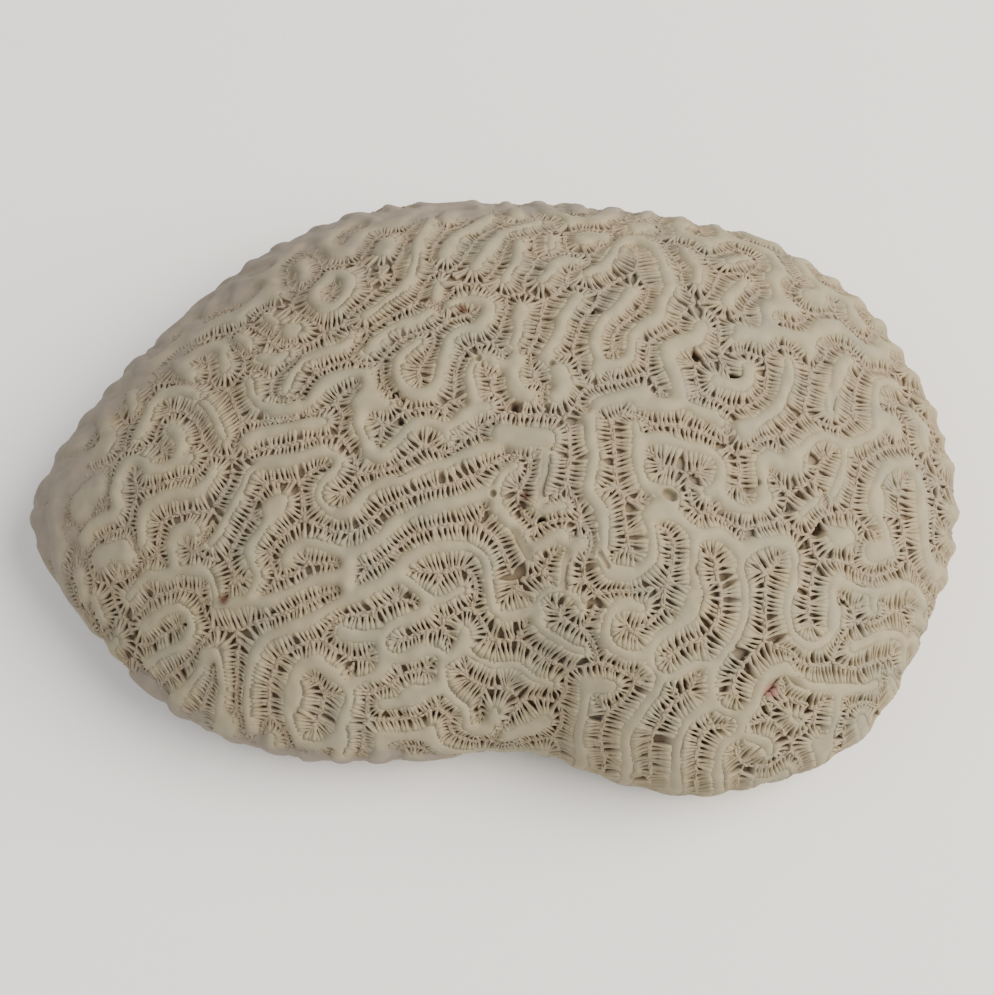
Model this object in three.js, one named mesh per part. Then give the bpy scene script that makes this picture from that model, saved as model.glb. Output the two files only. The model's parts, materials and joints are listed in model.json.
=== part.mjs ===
// Brain coral skeleton: one low dome covered in meandering ridges, grown in one piece and cut off flat below.
// Millimetres, +Z up, +X along the longest side, origin under the middle of the dome on the flat cut.
import * as THREE from "three";

// The dome
const RIM_HEIGHT = 12; // the widest level, above the cut
const DOME_RISE = 26; // from the widest level to the top
const DOME_POWER = 2; // how early the dome leaves its flat top
const EDGE_POWER = 0.7; // below 1, so the dome meets its rim upright
const SIDE_TUCK = 7; // how far the side draws in between the rim and the cut
const SIDE_ROUNDNESS = 0.98; // near 1, so the side turns in steeply just above the cut
const CENTRE = [0, 5]; // top of the dome, in the plan the outline is drawn in
const MIDDLE = [-0.24, 6.98]; // middle of the finished body in that same plan

// The widest outline seen from above, from the left tip round the front and back again
const OUTLINE = [
  [-71, 0], [-67, -9], [-59.5, -18.5], [-48.5, -29], [-38, -34.5], [-26, -37], [-12, -37], [-1, -35.7],
  [7, -36.2], [16, -39.6], [28, -42], [39, -40.2], [48, -37], [55.5, -31], [62, -21], [67.5, -10],
  [70.5, 1], [70, 12], [66.5, 24], [59, 37], [46, 47.5], [29, 53], [11, 55.2], [-7, 55.5],
  [-22, 54], [-37, 47], [-50, 35], [-61, 22], [-68.5, 9.5],
];

// The ridges and the valleys between them
const VALLEY_DEPTH = 1.5; // from a ridge's crest to the comb of thin plates that fills the valley
const VALLEY_SLOPE = 1.25; // distance over which a ridge's flank falls away
const RIDGE_SPACING = 5.8; // crest to crest, where the ridges were left to grow on their own
const TRACED_REACH = 3.2; // beside a traced ridge, the strip that its own valley takes up
const WILD_RIDGE_SHARE = 0.12; // lifts the growing pattern's mean, so its ridges are narrower than its valleys
const CELL = 0.7; // grid step for growing the pattern
const GROWING_STEPS = 60;
const BASE_FADE = 5; // above the cut, the band where the ridges smooth out
const WORN_TIP = [-77, 0]; // the left end has been rubbed until ridges and valleys are nearly level
const WORN_REACH = [9, 30]; // fully worn as far as the first distance from the tip, fresh past the second
const WORN_LOSS = 0.45;

// Facets
const DOME_RINGS = 36;
const SIDE_RINGS = 6;
const FACET = 2.1; // length of a facet along a ring
const SNAP = 1; // how far a corner may move to sit on a crest or along a valley's bottom

// Centre-lines of the ridges on the unrolled dome: x and y there are distances walked along the surface
// from the top of the dome, so a step is as long on the flat drawing as it is on the coral.
const RIDGES = [
  { width: 2, along: [[-39.4, -38.6], [-38.8, -36], [-38.2, -33.5], [-37.2, -30.5], [-36, -28],
    [-34.8, -26], [-33, -24.7], [-30, -23.9], [-27, -22.9], [-24, -21.4], [-21.5, -20.1], [-18.7, -19.3],
    [-16.2, -18.1], [-14, -16.9], [-12.8, -15.3], [-10.7, -14], [-8.7, -13.4], [-5.6, -13.2],
    [-3.5, -13.6], [-2.3, -14.5], [-1.5, -16], [-1.1, -18], [-0.9, -20.8], [-0.4, -22.2], [0.8, -23.2],
    [3.2, -22.7], [4.8, -22.1], [5.7, -21.8]] },
  { width: 2.2, along: [[-14, -16.9], [-11.8, -18.6], [-9.8, -20.4], [-10.6, -22.3], [-13, -23.2],
    [-15.4, -24.1], [-16.8, -25.6], [-16.7, -27.5], [-15.2, -28.8], [-13, -28.6], [-10.8, -27.8],
    [-8.7, -28], [-7.6, -29.2], [-6, -28.3], [-4.9, -26.7], [-4.7, -25.1]] },
  { width: 1.8, along: [[-9.5, -20.9], [-7.5, -20.5], [-5.5, -19.6], [-4.9, -19.3]] },
  { width: 2.2, along: [[-32.1, -41], [-32.2, -38], [-32.2, -35.8], [-31, -33.2], [-30.2, -30.7],
    [-28.6, -28.8], [-26.5, -28.6], [-24.8, -29.7], [-23.5, -31.3], [-22.2, -32.9], [-22.4, -34.8],
    [-23.8, -36.9], [-24.3, -38.5], [-25.4, -40.4], [-27.5, -41.8], [-29.7, -42], [-32.1, -41]] },
  { width: 3.6, along: [[-31, -34.2], [-30.3, -32.4]] },
  { width: 1.9, along: [[-16.7, -27.5], [-16.6, -29.9], [-18.1, -31.2], [-20.5, -31.6],
    [-22.2, -32.4]] },
  { width: 2.6, along: [[-22, -24.6], [-20.8, -25.2], [-18.8, -25.3], [-16.8, -25.3]] },
  { width: 2, along: [[-8.3, -29.4], [-8.4, -31.5], [-8.2, -33.7], [-6.6, -35.8], [-5.2, -37.2],
    [-4.9, -39.1], [-5.2, -40.7]] },
  { width: 2.6, along: [[-8.3, -33.2], [-11.4, -33.9], [-13.4, -34.4], [-15.5, -35.6], [-17.6, -35.7]] },
  { width: 3.8, along: [[-12.4, -34.1], [-13.6, -34.8]] },
  { width: 1.8, along: [[-24.3, -38.5], [-24.3, -40.2], [-24.9, -42.4]] },
  { width: 1.8, along: [[-4.9, -26.7], [-4.4, -28.2], [-2.8, -29.4], [-0.6, -30.4], [2.2, -30.2],
    [4, -30.7], [5.4, -32.1], [7.3, -32.6], [8.3, -32.9]] },
  { width: 2.4, along: [[-5.2, -40.7], [-3.4, -41.9], [-1.4, -41.6], [-0.6, -39.5], [-0.5, -38.2]] },
  { width: 1.8, along: [[-24.6, -12.3], [-27, -12], [-29, -13], [-29.8, -14.4]] },
  { width: 1.8, along: [[-27, -12], [-24, -12.8], [-22, -13.3], [-20.7, -14.3], [-20.9, -16.3],
    [-22.7, -17.2], [-25, -17.2], [-28.6, -18.3], [-30.8, -19.2], [-33.5, -20], [-35.6, -19.4],
    [-38, -19.6], [-41, -19.8]] },
  { width: 1.8, along: [[-20.9, -16.3], [-21.2, -18.3], [-20.5, -19.7]] },
  { width: 2, along: [[-35.6, -19.4], [-34.3, -17.3], [-33.9, -16], [-34.8, -14.2], [-35.2, -12.6],
    [-34.3, -11.2], [-33.2, -9.9], [-32.1, -8.6], [-31.2, -7]] },
  { width: 3.2, along: [[-31.6, -7.2], [-30.4, -6.2]] },
  { width: 1.9, along: [[-20.7, -14.2], [-20, -13.8], [-17.9, -13.2], [-16, -12], [-14.8, -10.8],
    [-13.4, -9.7], [-11.3, -8.7], [-9.3, -8.1], [-7.2, -7.7], [-5, -7.3], [-3.1, -6.7], [-1.5, -6.1],
    [-0.3, -5.4], [0.4, -4], [1.4, -2.8], [2.3, -2.4]] },
  { width: 2.2, along: [[-0.4, -6.2], [0, -8], [0.8, -9.2], [1.9, -10.4], [2.8, -11.6], [3.6, -13.2],
    [4.4, -14.6]] },
  { width: 1.9, along: [[4.2, -14.2], [5.2, -13.7], [6.5, -12.9], [7.8, -12.1], [8.8, -11.6]] },
  { width: 1.9, along: [[-23.8, -7.4], [-22.4, -8.5], [-20, -7.9], [-18.7, -6.5], [-17.9, -5.4],
    [-16.3, -4.6], [-13.8, -4.2], [-12.2, -3.6], [-10.5, -2.9], [-8.9, -2.3], [-6.8, -2.1], [-5.6, -1.3],
    [-4, -0.5], [-2.3, 0.1], [-0.3, 0.5], [1, 1.2]] },
  { width: 3.6, along: [[0.8, 2.2], [2.4, 1.7], [4.8, 1.8], [6.6, 1.8]] },
  { width: 2, along: [[7, 1.5], [6.9, -0.4], [6.6, -2.9], [6.1, -5.2], [6.1, -7], [6.3, -8.1]] },
  { width: 1.6, along: [[5.3, -7.9], [6.7, -8.3], [8.4, -8.1], [9.2, -7.9]] },
  { width: 1.9, along: [[-17.6, -0.2], [-16, -0.4], [-15, 0.5], [-13.8, 1.7], [-12.4, 3.2], [-10.9, 4.1],
    [-9.3, 4.3], [-7.4, 3.3], [-5.6, 4], [-4.4, 5.5], [-3.1, 6.2], [-1.5, 6.3]] },
  { width: 1.6, along: [[-7.2, 3.2], [-6.8, 1.7]] },
  { width: 1.8, along: [[-3.1, 6.2], [-3.4, 7.9], [-3.7, 10], [-3.9, 12], [-3.2, 13.7], [-2.2, 14.5],
    [-0.6, 13.9], [1, 13.4], [2.4, 12.8]] },
  { width: 2, along: [[-10, 22.7], [-11.4, 21.7], [-13, 21.1], [-15.2, 20.6], [-16.8, 19.2],
    [-17.8, 17.9], [-18.7, 16.4]] },
  { width: 2, along: [[-11.3, 17.5], [-12.7, 16.3], [-14.1, 14.7], [-14.3, 12.2], [-13.5, 10.1],
    [-11.9, 8.7], [-9.8, 8.6], [-8.4, 10.4], [-7.9, 13.3], [-7.3, 16], [-6.8, 17.9], [-5.2, 19.5],
    [-2.8, 20], [-1.4, 21.8], [-0.9, 23.8], [-2, 24.9], [-3.8, 25.4], [-5.6, 25.3], [-6.9, 24.4]] },
  { width: 1.8, along: [[-38.3, -7.4], [-37, -5.3], [-35.9, -3.4], [-35.2, -1.5], [-33.7, -0.4],
    [-31.6, -0.4], [-29.4, -0.4], [-27.5, 0.1], [-25.1, 0.7], [-23.2, 0.4], [-21.9, -0.9], [-22.4, -2.2],
    [-23.8, -3.4], [-24.8, -5], [-24.6, -6.5], [-23.8, -7.4]] },
  { width: 1.8, along: [[-38.3, -7.4], [-39.4, -9.6], [-41, -11]] },
  { width: 1.9, along: [[-35.6, 3.2], [-34.5, 4], [-32.1, 4.4], [-29.4, 4.7], [-26.7, 5.1],
    [-24.3, 5.2]] },
  { width: 2, along: [[-18.6, 12.8], [-18.4, 10.6], [-17.8, 8.2], [-19.2, 6.8], [-19.5, 4.1],
    [-18.6, 2.5], [-18.1, 0.8], [-17.2, -0.2]] },
  { width: 3.2, along: [[-19, 7.9], [-17.4, 8.2]] },
  { width: 1.8, along: [[-17.8, 8], [-16.6, 7.4], [-15.4, 7.4]] },
  { width: 2, along: [[-26.5, 8.5], [-25.7, 10.1], [-24.3, 11.7], [-22.4, 12.8], [-20.5, 12.9],
    [-18.6, 12.5]] },
  { width: 2, along: [[-30.4, 10.8], [-30, 12.4], [-29.4, 14.1], [-28.1, 16.3], [-26.4, 16.6],
    [-24.4, 17.2], [-22.4, 17.6], [-21.2, 19.2]] },
  { width: 1.6, along: [[5.8, -20.4], [7, -19.4], [8.9, -19.2], [10.2, -20], [11.3, -20.6],
    [11.6, -21.8]] },
  { width: 1.9, along: [[11.4, -12.9], [10.2, -13.5], [9.4, -15.4], [9.2, -17.8], [9.4, -19.2]] },
  { width: 1.6, along: [[8.8, -12.9], [10.2, -13.2], [11.4, -12.9]] },
  { width: 2, along: [[5.7, -21.8], [5.9, -24], [7, -25.3], [8.9, -26.2], [10.8, -27.2],
    [12.1, -27.5]] },
  { width: 2.2, along: [[12.7, 4.7], [12.7, 1.7], [13.4, -0.4], [12.9, -2.9], [12.5, -5], [12.7, -6.3],
    [14, -7.7], [14.5, -9.9], [14.6, -12.7], [14.3, -14.5], [14.8, -16.4], [17.2, -17.1], [19.4, -16.7],
    [21.3, -14.8], [21.3, -12.7], [21, -10.8], [20.7, -8.9], [22, -7.4], [23.6, -6.7], [24.6, -6.4]] },
  { width: 3, along: [[15.6, -16.7], [18, -17]] },
  { width: 2.2, along: [[19.9, -21.4], [17.8, -21.1], [16.2, -21.5], [15.3, -22.9], [15.1, -25.1],
    [16.2, -27], [18.3, -27.9], [20.5, -27.9], [21.8, -26.4], [22.8, -25.1], [24.2, -24.1],
    [26.1, -22.9], [27.2, -21.3], [27.5, -18.9], [26.9, -15.7], [27.2, -12.7], [27.1, -10.8],
    [25.6, -9.6], [24.6, -8.6]] },
  { width: 3.2, along: [[26.6, -21.9], [27.5, -19.5]] },
  { width: 1.9, along: [[21.5, -27], [21.8, -29.2], [23.4, -30.7], [25, -30.7], [26.7, -29.6],
    [28, -28.7], [29.8, -28.8], [31.2, -28.4]] },
  { width: 2.1, along: [[34.1, -13.7], [33.9, -15.6], [34.7, -17.8], [34.7, -20.2], [34.5, -22.7],
    [33.7, -24.8], [32.3, -26.7], [31, -28.6], [30.4, -30.5], [30.9, -32.9], [31.5, -34.5],
    [33.7, -35.4], [35.3, -35.6], [35.9, -37.2], [35.6, -38.7], [33.9, -39.9], [33.4, -41.8],
    [33.9, -43.9], [35.3, -46.1]] },
  { width: 2.3, along: [[23.4, -30.7], [22.9, -32.9], [21.5, -34.8], [20.5, -36.9], [19.7, -38.5],
    [19.7, -41], [20.5, -43.7], [21.5, -46.3]] },
  { width: 2.3, along: [[16.7, -32.3], [15.1, -32.3], [13, -32.6], [13.2, -34.2], [13.2, -36.9],
    [12.9, -39.6], [13.2, -42.3], [14, -44.7], [15.1, -47.2]] },
  { width: 3.2, along: [[13.4, -32.8], [15.6, -32.4]] },
  { width: 3.2, along: [[2.2, -43], [4, -42], [6, -41], [7.6, -39.5]] },
  { width: 2.3, along: [[31.2, -34], [29.4, -35.4], [27.7, -36.9], [27.2, -39.3], [27.2, -41.8],
    [27.7, -44.5], [28.8, -47.2]] },
  { width: 2.6, along: [[41.5, -28.6], [39.8, -29.2], [38.2, -30.6], [37.6, -32.4], [37.4, -34.2],
    [36.2, -35.4]] },
  { width: 3.6, along: [[38.2, -31.8], [39.4, -30.6]] },
  { width: 2.4, along: [[41.4, -41], [40.6, -39.6], [39, -39.2], [37.6, -38.9]] },
  { width: 2.1, along: [[42, -11.8], [42.5, -13.2], [42.4, -15], [42.1, -16.6], [41.5, -18.5],
    [41.1, -21], [42.1, -24], [44.5, -25.4], [46.7, -25.1], [48.4, -23.5], [49.3, -21.6], [49.1, -19.8],
    [48.3, -17.8], [48.8, -16.2], [49.9, -15.6], [52.3, -16.1], [54.5, -16.4], [56.6, -16.6],
    [58.8, -15.9], [60.7, -15.1], [63.2, -14.4], [65.2, -15.1], [66.6, -16.2], [68, -17.2]] },
  { width: 3.2, along: [[48.9, -21.8], [49, -19.6]] },
  { width: 2.4, along: [[56.2, -17.4], [56.4, -18.9]] },
  { width: 2.3, along: [[52.6, -25.1], [54.5, -24.3], [56.4, -23.3], [58.5, -22.5], [61.2, -22.3],
    [63, -22.6], [63.7, -24.3], [64.4, -26.5]] },
  { width: 2.3, along: [[39.8, -29.2], [41.5, -28.8], [43.2, -30.2], [45.9, -31], [49.1, -31.1],
    [52.3, -31], [55.5, -30.8], [58.2, -30]] },
  { width: 2.2, along: [[50.6, -31.4], [51, -33], [51.1, -35.2], [51, -38], [51.9, -40.6]] },
  { width: 2.2, along: [[66.2, -19.3], [67.8, -19.6], [69.4, -20]] },
  { width: 2.2, along: [[42.4, 2], [44.2, 3], [45.6, 4.9], [47.5, 5.9], [49.1, 5.6], [51.2, 5.2],
    [53.1, 5.8], [55, 6.8], [56.6, 7.9], [57.9, 9.2], [58.4, 11.4], [58.5, 13.9], [58.8, 16],
    [59.6, 17.9], [61.5, 18.8], [64, 19.2]] },
  { width: 3.8, along: [[59.6, 11.4], [61.4, 10.8]] },
  { width: 2.2, along: [[64.2, 5], [62, 4.2], [59.9, 3.5], [58.2, 2.3], [57, 0.4], [56.5, -1.8],
    [56.4, -4], [57.2, -5.7], [58.4, -7.4], [58.6, -9], [59.4, -10.2]] },
  { width: 3.4, along: [[56.8, -1.4], [56.6, -4.2]] },
  { width: 2.8, along: [[65.2, 2.8], [65.8, 0.6], [65.9, -1.8], [66.1, -5], [66.6, -8.2], [68, -10.2],
    [69.6, -12]] },
  { width: 2, along: [[51.2, 5], [51, 2.5], [50.2, 0.1], [49.3, -2], [48.7, -3.2]] },
  { width: 2.2, along: [[42.4, 2], [43.2, 0.8]] },
  { width: 2.2, along: [[43.4, 17.8], [43.2, 15.4], [42.6, 13.3], [41.8, 11.1], [40.6, 9.2], [38.6, 7.6],
    [36.4, 5.6], [35.2, 4.4]] },
  { width: 2.6, along: [[49.4, 10.4], [50.1, 12.6], [50.7, 14.6], [51.7, 17], [53, 19.5], [54.6, 21]] },
  { width: 3.4, along: [[49.2, -9.1], [51.4, -9]] },
  { width: 2.2, along: [[14, 7.4], [16.2, 8.3], [18.3, 8.7], [20.5, 9.4]] },
  { width: 2.4, along: [[19.6, 7.8], [21.5, 7.3], [24.2, 7.5], [26, 8.1], [28.3, 7.2], [30.4, 6.6],
    [31.4, 5.8]] },
  { width: 2.6, along: [[26, 8.1], [25.8, 10.2], [25.2, 12.8], [24.4, 15], [24.6, 17.2], [26.8, 18.4],
    [29, 19.2], [30, 21.8]] },
  { width: 2, along: [[19.2, 4.1], [19.5, 2.3], [21.5, 2.4], [23.7, 2.3], [25.8, 1.8], [28, 1.5],
    [30.2, 0.9], [31.2, -0.4], [31.2, -2.4], [30.7, -4.1], [29.1, -4.9]] },
  { width: 2.2, along: [[19.5, 2.3], [19.2, -0.2], [19.5, -2.4], [20.5, -4.6], [22.4, -5.2], [24, -5.3],
    [24.6, -6]] },
  { width: 2, along: [[13.9, 12.9], [14.2, 14.9], [13.6, 17.1], [14.5, 19.8], [15.6, 21.9], [17.2, 23.5],
    [18.8, 26], [19.9, 27.8]] },
  { width: 2, along: [[14, 13.6], [17, 13.8], [18.8, 14.9], [19.2, 17.1], [19.2, 18.7], [20.5, 20.3],
    [22.3, 21.7], [23.6, 23], [24.2, 25], [25.2, 27.3]] },
  { width: 2, along: [[11.8, 26], [10.8, 24.1], [9.4, 21.7], [9.1, 19.8], [8.4, 17.8], [7.2, 16],
    [6.6, 14.6], [8.4, 13], [9.4, 11.2], [8.8, 9], [7.8, 8.2]] },
  { width: 3.2, along: [[8.8, 12.2], [9.2, 10.8]] },
  { width: 2, along: [[3.5, 23.5], [3, 21.1], [3, 18.7], [2.4, 17]] },
  { width: 2.3, along: [[2.6, 14.2], [2.2, 12.4], [2.2, 10.4], [3, 8.6], [4.4, 8.2]] },
  { width: 2.4, along: [[38.6, 1.6], [37.4, 0.4], [37.5, -2], [37.5, -4.4], [37.2, -6]] },
  { width: 2, along: [[30.8, -4.6], [32, -6.2], [33.6, -6.8], [35.2, -7], [37, -6.2], [38.4, -4.8]] },
  { width: 2.6, along: [[31.6, 12.4], [33.4, 12], [35.4, 12], [36.4, 13.2], [36.6, 15.4]] },
  { width: 2, along: [[-52.6, -9.4], [-52.6, -7.2], [-52.1, -5.3], [-50.5, -4], [-48.3, -3.4],
    [-45.9, -3.4], [-43.5, -3.6], [-41.8, -2.6], [-40.5, -1]] },
  { width: 1.9, along: [[-43.2, -9], [-44.8, -8.2], [-46.8, -8.8], [-47.8, -10.4], [-47.6, -12.6],
    [-46.4, -14.3], [-43.4, -14.6], [-41.7, -15.1], [-40.9, -17.3], [-40.6, -19.6]] },
  { width: 2.2, along: [[-56.1, -17], [-54, -15.3], [-52.1, -14.2], [-49.7, -14.6], [-47, -14.4]] },
  { width: 2.1, along: [[-54, -21.6], [-51.8, -20.5], [-49.5, -19.7], [-47, -19.4], [-45.5, -20.8],
    [-45.1, -22.7], [-46.5, -24.1], [-48.1, -25.1], [-50.2, -25.6], [-52.4, -26.2], [-54.8, -27.2]] },
  { width: 2, along: [[-41.3, -26.2], [-41.3, -28.9], [-41.6, -31.5], [-43, -34.2], [-44.3, -36.9],
    [-45.7, -38.8]] },
  { width: 2.2, along: [[-41.6, -26.2], [-43.6, -26.8], [-45.1, -28.9], [-47.3, -30.5], [-49.2, -31.9],
    [-51, -33]] },
  { width: 2, along: [[-44.2, 1.7], [-46.5, 1.5], [-48.9, 0.7], [-51, 0.9], [-52.1, 2.5], [-53.7, 3.3],
    [-55.6, 2.8], [-56.7, 0.9], [-57, -1.8], [-56.7, -4], [-57.8, -4.8], [-59.9, -5], [-62.1, -5.8],
    [-63.7, -7.2]] },
  { width: 2.4, along: [[-46.4, 1.8], [-46, 4.4], [-46.8, 6.3], [-48.4, 7.4]] },
  { width: 3.2, along: [[-60.6, -10.6], [-58.2, -9.8], [-56, -9.6]] },
  { width: 3.8, along: [[-64.2, -2.6], [-62.8, -0.8], [-60.8, 0]] },
  { width: 2.2, along: [[-52.9, 12.8], [-51.8, 14.1], [-49.7, 14.6], [-47.3, 14.1], [-45, 12.6]] },
  { width: 2.6, along: [[-66, -12.6], [-66.2, -15.4]] },
  { width: 2.4, along: [[-63.4, -16.6], [-63, -19]] },
  { width: 2.4, along: [[-55.4, -11.4], [-56.6, -10.8]] },
  { width: 2, along: [[-19.6, 23.2], [-18.1, 24.3], [-16.2, 26.2], [-14.4, 28], [-13, 31], [-12.6, 34],
    [-12.6, 39], [-11.6, 43], [-11, 47]] },
  { width: 1.5, along: [[-9.2, 26.2], [-8.9, 29]] },
  { width: 2.2, along: [[-8.1, 35.6], [-7.3, 39.5], [-5.8, 42.6], [-3.8, 44.8], [-2.3, 47.1],
    [-1.5, 49]] },
  { width: 2, along: [[-3.5, 32.5], [-1.9, 36.4], [-0.8, 39.5], [0.8, 42.5], [3.1, 43.7], [5.4, 45.2],
    [6.9, 46.7]] },
  { width: 1.8, along: [[1, 29.4], [2.7, 33.3], [3.1, 36.4], [3.5, 39.4]] },
  { width: 2, along: [[6.9, 29.4], [8.5, 32.9], [10.4, 34.8], [11.9, 34.4]] },
  { width: 2, along: [[8.4, 37.6], [8.7, 40.8]] },
  { width: 2.2, along: [[13.5, 31.3], [15.8, 32.9], [17.5, 35.2], [18.5, 38.2], [20.4, 41.3],
    [22.7, 42.1], [24.2, 40.2], [25.4, 36.3], [25.8, 32.9], [26.2, 29.4], [25.2, 27.3]] },
  { width: 3, along: [[13.5, 40.2], [15, 42.1], [16.6, 41.8]] },
  { width: 1.8, along: [[29.6, 39.4], [31.2, 34.8], [30.4, 31]] },
  { width: 2, along: [[34.6, 27.5], [36.5, 30.5], [38.5, 32.9]] },
  { width: 2, along: [[36.9, 37.9], [40, 39.8]] },
  { width: 3, along: [[22.7, 46], [24.6, 47.1]] },
  { width: 2.5, along: [[3.1, 49.6], [3.1, 52]] },
  { width: 3, along: [[-8.2, 48], [-8, 50.6]] },
  { width: 3, along: [[-18, 37.6], [-17.4, 40.6]] },
  { width: 2.6, along: [[20.7, -8.9], [22.6, -8.3], [24.6, -8.6]] },
  { width: 2.6, along: [[27.1, -10.9], [28.4, -11], [30.4, -10.7], [31.8, -11.2], [33.2, -12.6],
    [34.1, -13.7]] },
  { width: 2.2, along: [[34.1, -13.3], [35.4, -12.4], [37, -11.6], [39, -11], [41, -10.9],
    [42, -11.8]] },
  { width: 2.4, along: [[38.6, 1.6], [40.2, 0.5], [41.8, 0.4], [43.2, 0.8]] },
  { width: 1.7, along: [[46.2, -4.2], [45, -5.2], [43.6, -6.6]] },
  { width: 3.2, along: [[35, 4.8], [36, 5.6]] },
  { width: 3.8, along: [[55.8, -10.8], [57.2, -10.4]] },
  { width: 2, along: [[-43.5, 11], [-41.4, 8.6], [-39.9, 5.8], [-39.1, 4.2]] },
  { width: 2, along: [[-36.2, 13.6], [-35.6, 11.4], [-34.4, 9], [-32.4, 8.2], [-30.4, 7.8],
    [-28.2, 8.2]] },
  { width: 2, along: [[-49, 20.6], [-47.4, 21.8], [-44.5, 22.7], [-42.4, 21.6], [-41.6, 19.2],
    [-41, 17]] },
  { width: 2, along: [[-50.6, 20.6], [-48.6, 18.6], [-46.6, 16.9]] },
  { width: 2.4, along: [[-52.9, 12.8], [-53.2, 10], [-54, 7.4]] },
  { width: 2.2, along: [[-58.6, 17.2], [-57.4, 14.8], [-56.4, 13.2]] },
  { width: 2.6, along: [[-35, 17.8], [-33, 16.8], [-31.4, 17.6]] },
  { width: 2.2, along: [[-28, 28], [-27.8, 31], [-26, 33.4], [-24.4, 33.4], [-22.6, 31.6], [-22.4, 28.6],
    [-24, 25.8], [-26.4, 25.6], [-28, 28]] },
  { width: 2.2, along: [[-31.6, 38], [-30.8, 34.4]] },
  { width: 2.8, along: [[-31.4, 22.6], [-30, 22.4]] },
  { width: 2, along: [[-39.6, 23], [-37.8, 21.4]] },
  { width: 2, along: [[-35.6, 26.4], [-33.6, 24.6]] },
  { width: 2.4, along: [[73, 8], [78, 8.5], [86, 9]] },
  { width: 2.2, along: [[71, 17.5], [75, 18.5], [83, 20.5]] },
  { width: 2.2, along: [[69, 24], [73, 25], [80, 27.5]] },
  { width: 2.4, along: [[64, 33.5], [68, 35], [75, 38]] },
  { width: 2.2, along: [[57, 41.5], [60.5, 44], [66.5, 48]] },
  { width: 2.2, along: [[25, 51], [27, 55.5], [30, 62]] },
  { width: 2.2, along: [[1.5, 56], [1.5, 60.5], [1.5, 68]] },
  { width: 2.2, along: [[-18.5, 55], [-20, 59], [-22.5, 65.5]] },
  { width: 2.2, along: [[-31, 52], [-33.5, 55.5], [-37, 61]] },
  { width: 2.2, along: [[-38, 49], [-41, 52], [-45.5, 57.5]] },
  { width: 2.2, along: [[-64, 21.5], [-67.5, 22.5], [-74, 24.5]] },
  { width: 2.2, along: [[-60.5, -23], [-64.5, -25], [-71, -28]] },
  { width: 2.2, along: [[-51, -32.5], [-54, -35.5], [-59, -40]] },
  { width: 2.4, along: [[-42.5, -37], [-45.5, -40.5], [-50, -45.5]] },
  { width: 2.4, along: [[-36.5, -40], [-39, -43.5], [-42.5, -48.5]] },
  { width: 2.4, along: [[-25.5, -42], [-27.5, -46], [-30.5, -51]] },
  { width: 2.2, along: [[13.5, -44], [14.5, -48], [16, -54]] },
  { width: 2.2, along: [[20.5, -45.5], [22, -49.5], [24.5, -56]] },
  { width: 2.4, along: [[28, -46], [30, -50], [33, -56]] },
  { width: 2.6, along: [[34, -45], [36.5, -49], [40, -55]] },
  { width: 2.8, along: [[49, -39.5], [52.5, -43.5], [57, -48.5]] },
  { width: 2.8, along: [[56, -35.5], [59.5, -38.5], [65, -43]] },
  { width: 2.2, along: [[61.5, -29], [65, -31.5], [71, -35]] },
  { width: 2.2, along: [[66, -22.5], [69.5, -24], [76, -27]] },
  { width: 2.8, along: [[71, -11], [75, -12], [82.5, -13.5]] },
  { width: 2.6, along: [[74, -0.5], [78, -0.5], [86, -0.5]] },
];

// Distance from CENTRE to the outline, for any direction round it
const OUTLINE_STEPS = 1440;
const outlineRadius = (() => {
  const curve = new THREE.CatmullRomCurve3(
    OUTLINE.map(([x, y]) => new THREE.Vector3(x - CENTRE[0], y - CENTRE[1], 0)), true, "catmullrom", 0.5);
  const samples = curve.getPoints(OUTLINE_STEPS).map((p) => [Math.atan2(p.y, p.x), Math.hypot(p.x, p.y)]);
  samples.sort((a, b) => a[0] - b[0]);
  const first = samples[0];
  const last = samples[samples.length - 1];
  samples.unshift([last[0] - 2 * Math.PI, last[1]]);
  samples.push([first[0] + 2 * Math.PI, first[1]]);
  return (direction) => {
    const angle = Math.atan2(Math.sin(direction), Math.cos(direction));
    let low = 0;
    let high = samples.length - 1;
    while (high - low > 1) {
      const half = (low + high) >> 1;
      if (samples[half][0] <= angle) low = half;
      else high = half;
    }
    const share = (angle - samples[low][0]) / Math.max(samples[high][0] - samples[low][0], 1e-9);
    return samples[low][1] + share * (samples[high][1] - samples[low][1]);
  };
})();

// One upright cut through the dome from its top over the rim to the flat cut: points [outward, up, walked]
const DOME_POINTS = 60;
const SIDE_POINTS = 20;
function meridian(radius) {
  const line = [];
  for (let i = 0; i <= DOME_POINTS; i++) {
    const out = Math.sin((i / DOME_POINTS) * Math.PI / 2);
    line.push([out * radius, RIM_HEIGHT + DOME_RISE * (1 - out ** DOME_POWER) ** EDGE_POWER, 0]);
  }
  for (let i = 1; i <= SIDE_POINTS; i++) {
    const down = i / SIDE_POINTS;
    const drawn = SIDE_TUCK * (1 - Math.sqrt(1 - SIDE_ROUNDNESS * down * down));
    line.push([radius - drawn, RIM_HEIGHT * (1 - down), 0]);
  }
  for (let i = 1; i < line.length; i++) {
    line[i][2] = line[i - 1][2] + Math.hypot(line[i][0] - line[i - 1][0], line[i][1] - line[i - 1][1]);
  }
  return { line, rim: line[DOME_POINTS][2], cut: line[line.length - 1][2] };
}

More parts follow.
